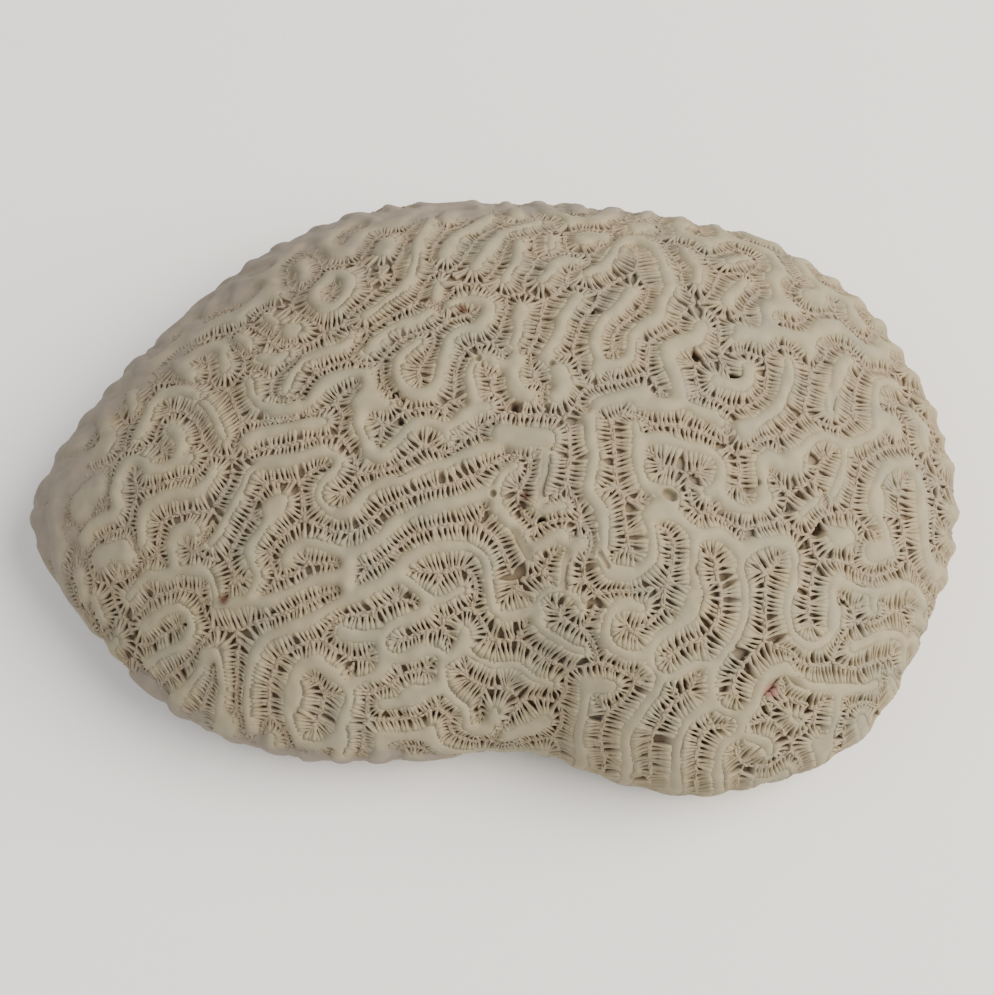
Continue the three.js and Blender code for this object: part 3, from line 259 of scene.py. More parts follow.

# %% [markdown]
# ## The drawing of the ridges
# Each ridge is a traced centre-line and a width. Where the coral is worn or turned away from
# view nothing could be traced, and there the ridges are grown: every cell of a grid follows its close
# neighbours and turns from those further off, which settles into a maze with the same spacing.

# %% The traced ridges: width and centre-line on the unrolled dome, in millimetres
RIDGES = [
    (2, [(-39.4, -38.6), (-38.8, -36), (-38.2, -33.5), (-37.2, -30.5), (-36, -28), (-34.8, -26),
     (-33, -24.7), (-30, -23.9), (-27, -22.9), (-24, -21.4), (-21.5, -20.1), (-18.7, -19.3),
     (-16.2, -18.1), (-14, -16.9), (-12.8, -15.3), (-10.7, -14), (-8.7, -13.4), (-5.6, -13.2),
     (-3.5, -13.6), (-2.3, -14.5), (-1.5, -16), (-1.1, -18), (-0.9, -20.8), (-0.4, -22.2), (0.8, -23.2),
     (3.2, -22.7), (4.8, -22.1), (5.7, -21.8)]),
    (2.2, [(-14, -16.9), (-11.8, -18.6), (-9.8, -20.4), (-10.6, -22.3), (-13, -23.2), (-15.4, -24.1),
     (-16.8, -25.6), (-16.7, -27.5), (-15.2, -28.8), (-13, -28.6), (-10.8, -27.8), (-8.7, -28),
     (-7.6, -29.2), (-6, -28.3), (-4.9, -26.7), (-4.7, -25.1)]),
    (1.8, [(-9.5, -20.9), (-7.5, -20.5), (-5.5, -19.6), (-4.9, -19.3)]),
    (2.2, [(-32.1, -41), (-32.2, -38), (-32.2, -35.8), (-31, -33.2), (-30.2, -30.7), (-28.6, -28.8),
     (-26.5, -28.6), (-24.8, -29.7), (-23.5, -31.3), (-22.2, -32.9), (-22.4, -34.8), (-23.8, -36.9),
     (-24.3, -38.5), (-25.4, -40.4), (-27.5, -41.8), (-29.7, -42), (-32.1, -41)]),
    (3.6, [(-31, -34.2), (-30.3, -32.4)]),
    (1.9, [(-16.7, -27.5), (-16.6, -29.9), (-18.1, -31.2), (-20.5, -31.6), (-22.2, -32.4)]),
    (2.6, [(-22, -24.6), (-20.8, -25.2), (-18.8, -25.3), (-16.8, -25.3)]),
    (2, [(-8.3, -29.4), (-8.4, -31.5), (-8.2, -33.7), (-6.6, -35.8), (-5.2, -37.2), (-4.9, -39.1),
     (-5.2, -40.7)]),
    (2.6, [(-8.3, -33.2), (-11.4, -33.9), (-13.4, -34.4), (-15.5, -35.6), (-17.6, -35.7)]),
    (3.8, [(-12.4, -34.1), (-13.6, -34.8)]),
    (1.8, [(-24.3, -38.5), (-24.3, -40.2), (-24.9, -42.4)]),
    (1.8, [(-4.9, -26.7), (-4.4, -28.2), (-2.8, -29.4), (-0.6, -30.4), (2.2, -30.2), (4, -30.7),
     (5.4, -32.1), (7.3, -32.6), (8.3, -32.9)]),
    (2.4, [(-5.2, -40.7), (-3.4, -41.9), (-1.4, -41.6), (-0.6, -39.5), (-0.5, -38.2)]),
    (1.8, [(-24.6, -12.3), (-27, -12), (-29, -13), (-29.8, -14.4)]),
    (1.8, [(-27, -12), (-24, -12.8), (-22, -13.3), (-20.7, -14.3), (-20.9, -16.3), (-22.7, -17.2),
     (-25, -17.2), (-28.6, -18.3), (-30.8, -19.2), (-33.5, -20), (-35.6, -19.4), (-38, -19.6),
     (-41, -19.8)]),
    (1.8, [(-20.9, -16.3), (-21.2, -18.3), (-20.5, -19.7)]),
    (2, [(-35.6, -19.4), (-34.3, -17.3), (-33.9, -16), (-34.8, -14.2), (-35.2, -12.6), (-34.3, -11.2),
     (-33.2, -9.9), (-32.1, -8.6), (-31.2, -7)]),
    (3.2, [(-31.6, -7.2), (-30.4, -6.2)]),
    (1.9, [(-20.7, -14.2), (-20, -13.8), (-17.9, -13.2), (-16, -12), (-14.8, -10.8), (-13.4, -9.7),
     (-11.3, -8.7), (-9.3, -8.1), (-7.2, -7.7), (-5, -7.3), (-3.1, -6.7), (-1.5, -6.1), (-0.3, -5.4),
     (0.4, -4), (1.4, -2.8), (2.3, -2.4)]),
    (2.2, [(-0.4, -6.2), (0, -8), (0.8, -9.2), (1.9, -10.4), (2.8, -11.6), (3.6, -13.2), (4.4, -14.6)]),
    (1.9, [(4.2, -14.2), (5.2, -13.7), (6.5, -12.9), (7.8, -12.1), (8.8, -11.6)]),
    (1.9, [(-23.8, -7.4), (-22.4, -8.5), (-20, -7.9), (-18.7, -6.5), (-17.9, -5.4), (-16.3, -4.6),
     (-13.8, -4.2), (-12.2, -3.6), (-10.5, -2.9), (-8.9, -2.3), (-6.8, -2.1), (-5.6, -1.3), (-4, -0.5),
     (-2.3, 0.1), (-0.3, 0.5), (1, 1.2)]),
    (3.6, [(0.8, 2.2), (2.4, 1.7), (4.8, 1.8), (6.6, 1.8)]),
    (2, [(7, 1.5), (6.9, -0.4), (6.6, -2.9), (6.1, -5.2), (6.1, -7), (6.3, -8.1)]),
    (1.6, [(5.3, -7.9), (6.7, -8.3), (8.4, -8.1), (9.2, -7.9)]),
    (1.9, [(-17.6, -0.2), (-16, -0.4), (-15, 0.5), (-13.8, 1.7), (-12.4, 3.2), (-10.9, 4.1), (-9.3, 4.3),
     (-7.4, 3.3), (-5.6, 4), (-4.4, 5.5), (-3.1, 6.2), (-1.5, 6.3)]),
    (1.6, [(-7.2, 3.2), (-6.8, 1.7)]),
    (1.8, [(-3.1, 6.2), (-3.4, 7.9), (-3.7, 10), (-3.9, 12), (-3.2, 13.7), (-2.2, 14.5), (-0.6, 13.9),
     (1, 13.4), (2.4, 12.8)]),
    (2, [(-10, 22.7), (-11.4, 21.7), (-13, 21.1), (-15.2, 20.6), (-16.8, 19.2), (-17.8, 17.9),
     (-18.7, 16.4)]),
    (2, [(-11.3, 17.5), (-12.7, 16.3), (-14.1, 14.7), (-14.3, 12.2), (-13.5, 10.1), (-11.9, 8.7),
     (-9.8, 8.6), (-8.4, 10.4), (-7.9, 13.3), (-7.3, 16), (-6.8, 17.9), (-5.2, 19.5), (-2.8, 20),
     (-1.4, 21.8), (-0.9, 23.8), (-2, 24.9), (-3.8, 25.4), (-5.6, 25.3), (-6.9, 24.4)]),
    (1.8, [(-38.3, -7.4), (-37, -5.3), (-35.9, -3.4), (-35.2, -1.5), (-33.7, -0.4), (-31.6, -0.4),
     (-29.4, -0.4), (-27.5, 0.1), (-25.1, 0.7), (-23.2, 0.4), (-21.9, -0.9), (-22.4, -2.2),
     (-23.8, -3.4), (-24.8, -5), (-24.6, -6.5), (-23.8, -7.4)]),
    (1.8, [(-38.3, -7.4), (-39.4, -9.6), (-41, -11)]),
    (1.9, [(-35.6, 3.2), (-34.5, 4), (-32.1, 4.4), (-29.4, 4.7), (-26.7, 5.1), (-24.3, 5.2)]),
    (2, [(-18.6, 12.8), (-18.4, 10.6), (-17.8, 8.2), (-19.2, 6.8), (-19.5, 4.1), (-18.6, 2.5),
     (-18.1, 0.8), (-17.2, -0.2)]),
    (3.2, [(-19, 7.9), (-17.4, 8.2)]),
    (1.8, [(-17.8, 8), (-16.6, 7.4), (-15.4, 7.4)]),
    (2, [(-26.5, 8.5), (-25.7, 10.1), (-24.3, 11.7), (-22.4, 12.8), (-20.5, 12.9), (-18.6, 12.5)]),
    (2, [(-30.4, 10.8), (-30, 12.4), (-29.4, 14.1), (-28.1, 16.3), (-26.4, 16.6), (-24.4, 17.2),
     (-22.4, 17.6), (-21.2, 19.2)]),
    (1.6, [(5.8, -20.4), (7, -19.4), (8.9, -19.2), (10.2, -20), (11.3, -20.6), (11.6, -21.8)]),
    (1.9, [(11.4, -12.9), (10.2, -13.5), (9.4, -15.4), (9.2, -17.8), (9.4, -19.2)]),
    (1.6, [(8.8, -12.9), (10.2, -13.2), (11.4, -12.9)]),
    (2, [(5.7, -21.8), (5.9, -24), (7, -25.3), (8.9, -26.2), (10.8, -27.2), (12.1, -27.5)]),
    (2.2, [(12.7, 4.7), (12.7, 1.7), (13.4, -0.4), (12.9, -2.9), (12.5, -5), (12.7, -6.3), (14, -7.7),
     (14.5, -9.9), (14.6, -12.7), (14.3, -14.5), (14.8, -16.4), (17.2, -17.1), (19.4, -16.7),
     (21.3, -14.8), (21.3, -12.7), (21, -10.8), (20.7, -8.9), (22, -7.4), (23.6, -6.7), (24.6, -6.4)]),
    (3, [(15.6, -16.7), (18, -17)]),
    (2.2, [(19.9, -21.4), (17.8, -21.1), (16.2, -21.5), (15.3, -22.9), (15.1, -25.1), (16.2, -27),
     (18.3, -27.9), (20.5, -27.9), (21.8, -26.4), (22.8, -25.1), (24.2, -24.1), (26.1, -22.9),
     (27.2, -21.3), (27.5, -18.9), (26.9, -15.7), (27.2, -12.7), (27.1, -10.8), (25.6, -9.6),
     (24.6, -8.6)]),
    (3.2, [(26.6, -21.9), (27.5, -19.5)]),
    (1.9, [(21.5, -27), (21.8, -29.2), (23.4, -30.7), (25, -30.7), (26.7, -29.6), (28, -28.7),
     (29.8, -28.8), (31.2, -28.4)]),
    (2.1, [(34.1, -13.7), (33.9, -15.6), (34.7, -17.8), (34.7, -20.2), (34.5, -22.7), (33.7, -24.8),
     (32.3, -26.7), (31, -28.6), (30.4, -30.5), (30.9, -32.9), (31.5, -34.5), (33.7, -35.4),
     (35.3, -35.6), (35.9, -37.2), (35.6, -38.7), (33.9, -39.9), (33.4, -41.8), (33.9, -43.9),
     (35.3, -46.1)]),
    (2.3, [(23.4, -30.7), (22.9, -32.9), (21.5, -34.8), (20.5, -36.9), (19.7, -38.5), (19.7, -41),
     (20.5, -43.7), (21.5, -46.3)]),
    (2.3, [(16.7, -32.3), (15.1, -32.3), (13, -32.6), (13.2, -34.2), (13.2, -36.9), (12.9, -39.6),
     (13.2, -42.3), (14, -44.7), (15.1, -47.2)]),
    (3.2, [(13.4, -32.8), (15.6, -32.4)]),
    (3.2, [(2.2, -43), (4, -42), (6, -41), (7.6, -39.5)]),
    (2.3, [(31.2, -34), (29.4, -35.4), (27.7, -36.9), (27.2, -39.3), (27.2, -41.8), (27.7, -44.5),
     (28.8, -47.2)]),
    (2.6, [(41.5, -28.6), (39.8, -29.2), (38.2, -30.6), (37.6, -32.4), (37.4, -34.2), (36.2, -35.4)]),
    (3.6, [(38.2, -31.8), (39.4, -30.6)]),
    (2.4, [(41.4, -41), (40.6, -39.6), (39, -39.2), (37.6, -38.9)]),
    (2.1, [(42, -11.8), (42.5, -13.2), (42.4, -15), (42.1, -16.6), (41.5, -18.5), (41.1, -21),
     (42.1, -24), (44.5, -25.4), (46.7, -25.1), (48.4, -23.5), (49.3, -21.6), (49.1, -19.8),
     (48.3, -17.8), (48.8, -16.2), (49.9, -15.6), (52.3, -16.1), (54.5, -16.4), (56.6, -16.6),
     (58.8, -15.9), (60.7, -15.1), (63.2, -14.4), (65.2, -15.1), (66.6, -16.2), (68, -17.2)]),
    (3.2, [(48.9, -21.8), (49, -19.6)]),
    (2.4, [(56.2, -17.4), (56.4, -18.9)]),
    (2.3, [(52.6, -25.1), (54.5, -24.3), (56.4, -23.3), (58.5, -22.5), (61.2, -22.3), (63, -22.6),
     (63.7, -24.3), (64.4, -26.5)]),
    (2.3, [(39.8, -29.2), (41.5, -28.8), (43.2, -30.2), (45.9, -31), (49.1, -31.1), (52.3, -31),
     (55.5, -30.8), (58.2, -30)]),
    (2.2, [(50.6, -31.4), (51, -33), (51.1, -35.2), (51, -38), (51.9, -40.6)]),
    (2.2, [(66.2, -19.3), (67.8, -19.6), (69.4, -20)]),
    (2.2, [(42.4, 2), (44.2, 3), (45.6, 4.9), (47.5, 5.9), (49.1, 5.6), (51.2, 5.2), (53.1, 5.8),
     (55, 6.8), (56.6, 7.9), (57.9, 9.2), (58.4, 11.4), (58.5, 13.9), (58.8, 16), (59.6, 17.9),
     (61.5, 18.8), (64, 19.2)]),
    (3.8, [(59.6, 11.4), (61.4, 10.8)]),
    (2.2, [(64.2, 5), (62, 4.2), (59.9, 3.5), (58.2, 2.3), (57, 0.4), (56.5, -1.8), (56.4, -4),
     (57.2, -5.7), (58.4, -7.4), (58.6, -9), (59.4, -10.2)]),
    (3.4, [(56.8, -1.4), (56.6, -4.2)]),
    (2.8, [(65.2, 2.8), (65.8, 0.6), (65.9, -1.8), (66.1, -5), (66.6, -8.2), (68, -10.2), (69.6, -12)]),
    (2, [(51.2, 5), (51, 2.5), (50.2, 0.1), (49.3, -2), (48.7, -3.2)]),
    (2.2, [(42.4, 2), (43.2, 0.8)]),
    (2.2, [(43.4, 17.8), (43.2, 15.4), (42.6, 13.3), (41.8, 11.1), (40.6, 9.2), (38.6, 7.6), (36.4, 5.6),
     (35.2, 4.4)]),
    (2.6, [(49.4, 10.4), (50.1, 12.6), (50.7, 14.6), (51.7, 17), (53, 19.5), (54.6, 21)]),
    (3.4, [(49.2, -9.1), (51.4, -9)]),
    (2.2, [(14, 7.4), (16.2, 8.3), (18.3, 8.7), (20.5, 9.4)]),
    (2.4, [(19.6, 7.8), (21.5, 7.3), (24.2, 7.5), (26, 8.1), (28.3, 7.2), (30.4, 6.6), (31.4, 5.8)]),
    (2.6, [(26, 8.1), (25.8, 10.2), (25.2, 12.8), (24.4, 15), (24.6, 17.2), (26.8, 18.4), (29, 19.2),
     (30, 21.8)]),
    (2, [(19.2, 4.1), (19.5, 2.3), (21.5, 2.4), (23.7, 2.3), (25.8, 1.8), (28, 1.5), (30.2, 0.9),
     (31.2, -0.4), (31.2, -2.4), (30.7, -4.1), (29.1, -4.9)]),
    (2.2, [(19.5, 2.3), (19.2, -0.2), (19.5, -2.4), (20.5, -4.6), (22.4, -5.2), (24, -5.3), (24.6, -6)]),
    (2, [(13.9, 12.9), (14.2, 14.9), (13.6, 17.1), (14.5, 19.8), (15.6, 21.9), (17.2, 23.5), (18.8, 26),
     (19.9, 27.8)]),
    (2, [(14, 13.6), (17, 13.8), (18.8, 14.9), (19.2, 17.1), (19.2, 18.7), (20.5, 20.3), (22.3, 21.7),
     (23.6, 23), (24.2, 25), (25.2, 27.3)]),
    (2, [(11.8, 26), (10.8, 24.1), (9.4, 21.7), (9.1, 19.8), (8.4, 17.8), (7.2, 16), (6.6, 14.6),
     (8.4, 13), (9.4, 11.2), (8.8, 9), (7.8, 8.2)]),
    (3.2, [(8.8, 12.2), (9.2, 10.8)]),
    (2, [(3.5, 23.5), (3, 21.1), (3, 18.7), (2.4, 17)]),
    (2.3, [(2.6, 14.2), (2.2, 12.4), (2.2, 10.4), (3, 8.6), (4.4, 8.2)]),
    (2.4, [(38.6, 1.6), (37.4, 0.4), (37.5, -2), (37.5, -4.4), (37.2, -6)]),
    (2, [(30.8, -4.6), (32, -6.2), (33.6, -6.8), (35.2, -7), (37, -6.2), (38.4, -4.8)]),
    (2.6, [(31.6, 12.4), (33.4, 12), (35.4, 12), (36.4, 13.2), (36.6, 15.4)]),
    (2, [(-52.6, -9.4), (-52.6, -7.2), (-52.1, -5.3), (-50.5, -4), (-48.3, -3.4), (-45.9, -3.4),
     (-43.5, -3.6), (-41.8, -2.6), (-40.5, -1)]),
    (1.9, [(-43.2, -9), (-44.8, -8.2), (-46.8, -8.8), (-47.8, -10.4), (-47.6, -12.6), (-46.4, -14.3),
     (-43.4, -14.6), (-41.7, -15.1), (-40.9, -17.3), (-40.6, -19.6)]),
    (2.2, [(-56.1, -17), (-54, -15.3), (-52.1, -14.2), (-49.7, -14.6), (-47, -14.4)]),
    (2.1, [(-54, -21.6), (-51.8, -20.5), (-49.5, -19.7), (-47, -19.4), (-45.5, -20.8), (-45.1, -22.7),
     (-46.5, -24.1), (-48.1, -25.1), (-50.2, -25.6), (-52.4, -26.2), (-54.8, -27.2)]),
    (2, [(-41.3, -26.2), (-41.3, -28.9), (-41.6, -31.5), (-43, -34.2), (-44.3, -36.9), (-45.7, -38.8)]),
    (2.2, [(-41.6, -26.2), (-43.6, -26.8), (-45.1, -28.9), (-47.3, -30.5), (-49.2, -31.9), (-51, -33)]),
    (2, [(-44.2, 1.7), (-46.5, 1.5), (-48.9, 0.7), (-51, 0.9), (-52.1, 2.5), (-53.7, 3.3), (-55.6, 2.8),
     (-56.7, 0.9), (-57, -1.8), (-56.7, -4), (-57.8, -4.8), (-59.9, -5), (-62.1, -5.8), (-63.7, -7.2)]),
    (2.4, [(-46.4, 1.8), (-46, 4.4), (-46.8, 6.3), (-48.4, 7.4)]),
    (3.2, [(-60.6, -10.6), (-58.2, -9.8), (-56, -9.6)]),
    (3.8, [(-64.2, -2.6), (-62.8, -0.8), (-60.8, 0)]),
    (2.2, [(-52.9, 12.8), (-51.8, 14.1), (-49.7, 14.6), (-47.3, 14.1), (-45, 12.6)]),
    (2.6, [(-66, -12.6), (-66.2, -15.4)]),
    (2.4, [(-63.4, -16.6), (-63, -19)]),
    (2.4, [(-55.4, -11.4), (-56.6, -10.8)]),
    (2, [(-19.6, 23.2), (-18.1, 24.3), (-16.2, 26.2), (-14.4, 28), (-13, 31), (-12.6, 34), (-12.6, 39),
     (-11.6, 43), (-11, 47)]),
    (1.5, [(-9.2, 26.2), (-8.9, 29)]),
    (2.2, [(-8.1, 35.6), (-7.3, 39.5), (-5.8, 42.6), (-3.8, 44.8), (-2.3, 47.1), (-1.5, 49)]),
    (2, [(-3.5, 32.5), (-1.9, 36.4), (-0.8, 39.5), (0.8, 42.5), (3.1, 43.7), (5.4, 45.2), (6.9, 46.7)]),
    (1.8, [(1, 29.4), (2.7, 33.3), (3.1, 36.4), (3.5, 39.4)]),
    (2, [(6.9, 29.4), (8.5, 32.9), (10.4, 34.8), (11.9, 34.4)]),
    (2, [(8.4, 37.6), (8.7, 40.8)]),
    (2.2, [(13.5, 31.3), (15.8, 32.9), (17.5, 35.2), (18.5, 38.2), (20.4, 41.3), (22.7, 42.1),
     (24.2, 40.2), (25.4, 36.3), (25.8, 32.9), (26.2, 29.4), (25.2, 27.3)]),
    (3, [(13.5, 40.2), (15, 42.1), (16.6, 41.8)]),
    (1.8, [(29.6, 39.4), (31.2, 34.8), (30.4, 31)]),
    (2, [(34.6, 27.5), (36.5, 30.5), (38.5, 32.9)]),
    (2, [(36.9, 37.9), (40, 39.8)]),
    (3, [(22.7, 46), (24.6, 47.1)]),
    (2.5, [(3.1, 49.6), (3.1, 52)]),
    (3, [(-8.2, 48), (-8, 50.6)]),
    (3, [(-18, 37.6), (-17.4, 40.6)]),
    (2.6, [(20.7, -8.9), (22.6, -8.3), (24.6, -8.6)]),
    (2.6, [(27.1, -10.9), (28.4, -11), (30.4, -10.7), (31.8, -11.2), (33.2, -12.6), (34.1, -13.7)]),
    (2.2, [(34.1, -13.3), (35.4, -12.4), (37, -11.6), (39, -11), (41, -10.9), (42, -11.8)]),
    (2.4, [(38.6, 1.6), (40.2, 0.5), (41.8, 0.4), (43.2, 0.8)]),
    (1.7, [(46.2, -4.2), (45, -5.2), (43.6, -6.6)]),
    (3.2, [(35, 4.8), (36, 5.6)]),
    (3.8, [(55.8, -10.8), (57.2, -10.4)]),
    (2, [(-43.5, 11), (-41.4, 8.6), (-39.9, 5.8), (-39.1, 4.2)]),
    (2, [(-36.2, 13.6), (-35.6, 11.4), (-34.4, 9), (-32.4, 8.2), (-30.4, 7.8), (-28.2, 8.2)]),
    (2, [(-49, 20.6), (-47.4, 21.8), (-44.5, 22.7), (-42.4, 21.6), (-41.6, 19.2), (-41, 17)]),
    (2, [(-50.6, 20.6), (-48.6, 18.6), (-46.6, 16.9)]),
    (2.4, [(-52.9, 12.8), (-53.2, 10), (-54, 7.4)]),
    (2.2, [(-58.6, 17.2), (-57.4, 14.8), (-56.4, 13.2)]),
    (2.6, [(-35, 17.8), (-33, 16.8), (-31.4, 17.6)]),
    (2.2, [(-28, 28), (-27.8, 31), (-26, 33.4), (-24.4, 33.4), (-22.6, 31.6), (-22.4, 28.6), (-24, 25.8),
     (-26.4, 25.6), (-28, 28)]),
    (2.2, [(-31.6, 38), (-30.8, 34.4)]),
    (2.8, [(-31.4, 22.6), (-30, 22.4)]),
    (2, [(-39.6, 23), (-37.8, 21.4)]),
    (2, [(-35.6, 26.4), (-33.6, 24.6)]),
    (2.4, [(73, 8), (78, 8.5), (86, 9)]),
    (2.2, [(71, 17.5), (75, 18.5), (83, 20.5)]),
    (2.2, [(69, 24), (73, 25), (80, 27.5)]),
    (2.4, [(64, 33.5), (68, 35), (75, 38)]),
    (2.2, [(57, 41.5), (60.5, 44), (66.5, 48)]),
    (2.2, [(25, 51), (27, 55.5), (30, 62)]),
    (2.2, [(1.5, 56), (1.5, 60.5), (1.5, 68)]),
    (2.2, [(-18.5, 55), (-20, 59), (-22.5, 65.5)]),
    (2.2, [(-31, 52), (-33.5, 55.5), (-37, 61)]),
    (2.2, [(-38, 49), (-41, 52), (-45.5, 57.5)]),
    (2.2, [(-64, 21.5), (-67.5, 22.5), (-74, 24.5)]),
    (2.2, [(-60.5, -23), (-64.5, -25), (-71, -28)]),
    (2.2, [(-51, -32.5), (-54, -35.5), (-59, -40)]),
    (2.4, [(-42.5, -37), (-45.5, -40.5), (-50, -45.5)]),
    (2.4, [(-36.5, -40), (-39, -43.5), (-42.5, -48.5)]),
    (2.4, [(-25.5, -42), (-27.5, -46), (-30.5, -51)]),
    (2.2, [(13.5, -44), (14.5, -48), (16, -54)]),
    (2.2, [(20.5, -45.5), (22, -49.5), (24.5, -56)]),
    (2.4, [(28, -46), (30, -50), (33, -56)]),
    (2.6, [(34, -45), (36.5, -49), (40, -55)]),
    (2.8, [(49, -39.5), (52.5, -43.5), (57, -48.5)]),
    (2.8, [(56, -35.5), (59.5, -38.5), (65, -43)]),
    (2.2, [(61.5, -29), (65, -31.5), (71, -35)]),
    (2.2, [(66, -22.5), (69.5, -24), (76, -27)]),
    (2.8, [(71, -11), (75, -12), (82.5, -13.5)]),
    (2.6, [(74, -0.5), (78, -0.5), (86, -0.5)]),
]
print(len(RIDGES), "traced ridges,", sum(len(along) for _, along in RIDGES), "points")

# %% [markdown]
# ## Growing the rest of the pattern
# The traced lines become a height: 1 on a ridge, -1 in the middle of a valley. Blurring once a little
# and once more widely, and keeping the difference, makes any cell join its neighbours' side. Sixty
# rounds of that on a coarse grid are enough for the hidden side of the coral.

# %% Distance to the traced ridges on a grid
RIDGE_SPACING = 5.8
VALLEY_SLOPE = 1.25  # distance from a ridge's edge at which the growing height is -1
TRACED_REACH = 3.2  # the traced ridges rule as far as this from their edge
WILD_RIDGE_SHARE = 0.12  # taken off the height, so that the grown ridges stay narrow
HALF_WIDTH = 98  # of the square drawing
GROWING_CELL = 0.7
GROWING_STEPS = 60
DRAWING_CELL = 0.35
FAR = 9  # distances past this are all the same to the drawing


def grid_side(cell):
    return 2 * round(HALF_WIDTH / cell) + 1


def in_cells(flat, cell):
    return (np.asarray(flat, float) - CENTRE) / cell + (grid_side(cell) - 1) / 2


def distance_to_ridges(cell, reach):
    """Distance of every cell to the edge of the nearest traced ridge, negative on the ridge."""
    side = grid_side(cell)
    near = np.full((side, side), np.inf)
    for width, along in RIDGES:
        points = in_cells(along, cell)
        around = (reach + width / 2) / cell
        for a, b in zip(points[:-1], points[1:]):
            low = np.ceil(np.minimum(a, b) - around).astype(int)
            high = np.floor(np.maximum(a, b) + around).astype(int) + 1
            i, j = np.meshgrid(np.arange(low[0], high[0]), np.arange(low[1], high[1]))
            step = b - a
            share = np.clip(((i - a[0]) * step[0] + (j - a[1]) * step[1]) / (step @ step), 0, 1)
            away = np.hypot(i - a[0] - share * step[0], j - a[1] - share * step[1]) * cell - width / 2
            window = near[low[1]:high[1], low[0]:high[0]]
            np.minimum(window, away, out=window)
    return near


def blurred(field, spread, cell):
    reach = math.ceil(3 * spread / cell)
    weights = np.exp(-0.5 * (np.arange(-reach, reach + 1) * cell / spread) ** 2)
    weights /= weights.sum()
    for axis in (1, 0):
        field = np.apply_along_axis(np.convolve, axis, field, weights, "same")
    return field


def grown_pattern():
    near_spread = RIDGE_SPACING / 5.72  # these two spreads settle into ridges that far apart
    far_spread = 1.6 * near_spread
    growth, seed_strength, last_blur = 9, 0.6, 0.6
    edge = distance_to_ridges(GROWING_CELL, TRACED_REACH)
    traced = np.clip(-edge / VALLEY_SLOPE, -1, 1)
    free = edge >= TRACED_REACH
    j, i = np.indices(edge.shape)
    hashed = np.sin(i * 12.9898 + j * 78.233) * 43758.5453
    field = np.where(free, seed_strength * (hashed - np.floor(hashed) - 0.5), traced)
    for _ in range(GROWING_STEPS):
        pull = blurred(field, near_spread, GROWING_CELL) - blurred(field, far_spread, GROWING_CELL)
        field = np.where(free, np.tanh(growth * pull - WILD_RIDGE_SHARE), traced)
    return blurred(field, last_blur, GROWING_CELL)


PATTERN = grown_pattern()
print("pattern grid", PATTERN.shape, "share of ridge", round(float((PATTERN > 0).mean()), 3))

# %% Reading a grid at any place, and the ridge edge as one field
def read_grid(grid, flat, cell):
    """The grid's value at unrolled places, between its cells."""
    at = np.clip(in_cells(flat, cell), 0, grid.shape[0] - 1.001)
    i0, j0 = at[:, 0].astype(int), at[:, 1].astype(int)
    u, v = at[:, 0] - i0, at[:, 1] - j0
    return ((grid[j0, i0] * (1 - u) + grid[j0, i0 + 1] * u) * (1 - v)
            + (grid[j0 + 1, i0] * (1 - u) + grid[j0 + 1, i0 + 1] * u) * v)


def smoothstep(value, low, high):
    t = np.clip((value - low) / (high - low), 0, 1)
    return t * t * (3 - 2 * t)


def drawing_places(cell):
    side = grid_side(cell)
    j, i = np.indices((side, side))
    flat = np.stack([i.ravel(), j.ravel()], axis=1) - (side - 1) / 2
    return flat * cell + CENTRE


drawn = drawing_places(DRAWING_CELL)
traced_edge = distance_to_ridges(DRAWING_CELL, TRACED_REACH).ravel()
wild_edge = -VALLEY_SLOPE * read_grid(PATTERN, drawn, GROWING_CELL)
wildness = smoothstep(traced_edge, TRACED_REACH - 1, TRACED_REACH)
EDGE = np.where(wildness < 1, (1 - wildness) * np.minimum(traced_edge, FAR), 0) + wildness * wild_edge
EDGE = EDGE.reshape(grid_side(DRAWING_CELL), -1)
print("ridge edge field", EDGE.shape)

# %% [markdown]
# ## The ridge edges as lines
# The edge of every ridge is wanted as a line, to set the plates along it. A flat grid is lifted to the
# edge field and bisected at level zero, as water fills a landscape: the shore is the ridges' edge.

# %% Bisecting the field at its shore
def shore_chains():
    side = grid_side(DRAWING_CELL)
    shape = bmesh.new()
    bmesh.ops.create_grid(shape, x_segments=side - 1, y_segments=side - 1, size=1)
    heights = EDGE.ravel()
    for vert, flat, height in zip(shape.verts, drawn, heights):
        vert.co = (flat[0], flat[1], height)
    dry = [f for f in shape.faces if len({v.co.z > 0 for v in f.verts}) == 1]
    bmesh.ops.delete(shape, geom=dry, context="FACES")
    cut = bmesh.ops.bisect_plane(shape, geom=shape.verts[:] + shape.edges[:] + shape.faces[:],
                                 dist=1e-6, plane_co=(0, 0, 0), plane_no=(0, 0, 1))["geom_cut"]
    # A dictionary keeps its order, so the chains start at the same places in every run
    shore = dict.fromkeys(e for e in cut if isinstance(e, bmesh.types.BMEdge))
    chains = []
    while shore:
        edge, _ = shore.popitem()
        ends = [[edge.verts[0]], [edge.verts[1]]]
        for walked in ends:
            while True:
                onward = next((e for e in walked[-1].link_edges if e in shore), None)
                if onward is None:
                    break
                del shore[onward]
                walked.append(onward.other_vert(walked[-1]))
        line = ends[0][::-1] + ends[1]
        chains.append(np.array([v.co[:2] for v in line]))
    shape.free()
    return chains


def resampled(line, step):
    """The line's points at even steps, its own length shared out so that the last fits too."""
    walked = np.concatenate([[0], np.cumsum(np.hypot(*np.diff(line, axis=0).T))])
    count = max(int(round(walked[-1] / step)), 1)
    at = np.linspace(0, walked[-1], count + 1)
    return np.stack([np.interp(at, walked, line[:, k]) for k in (0, 1)], axis=1)


SHORTEST_SHORE = 2.5
shores = [line for line in shore_chains()
          if np.hypot(*np.diff(line, axis=0).T).sum() > SHORTEST_SHORE]
print(len(shores), "shores,", round(sum(np.hypot(*np.diff(s, axis=0).T).sum() for s in shores)), "mm")

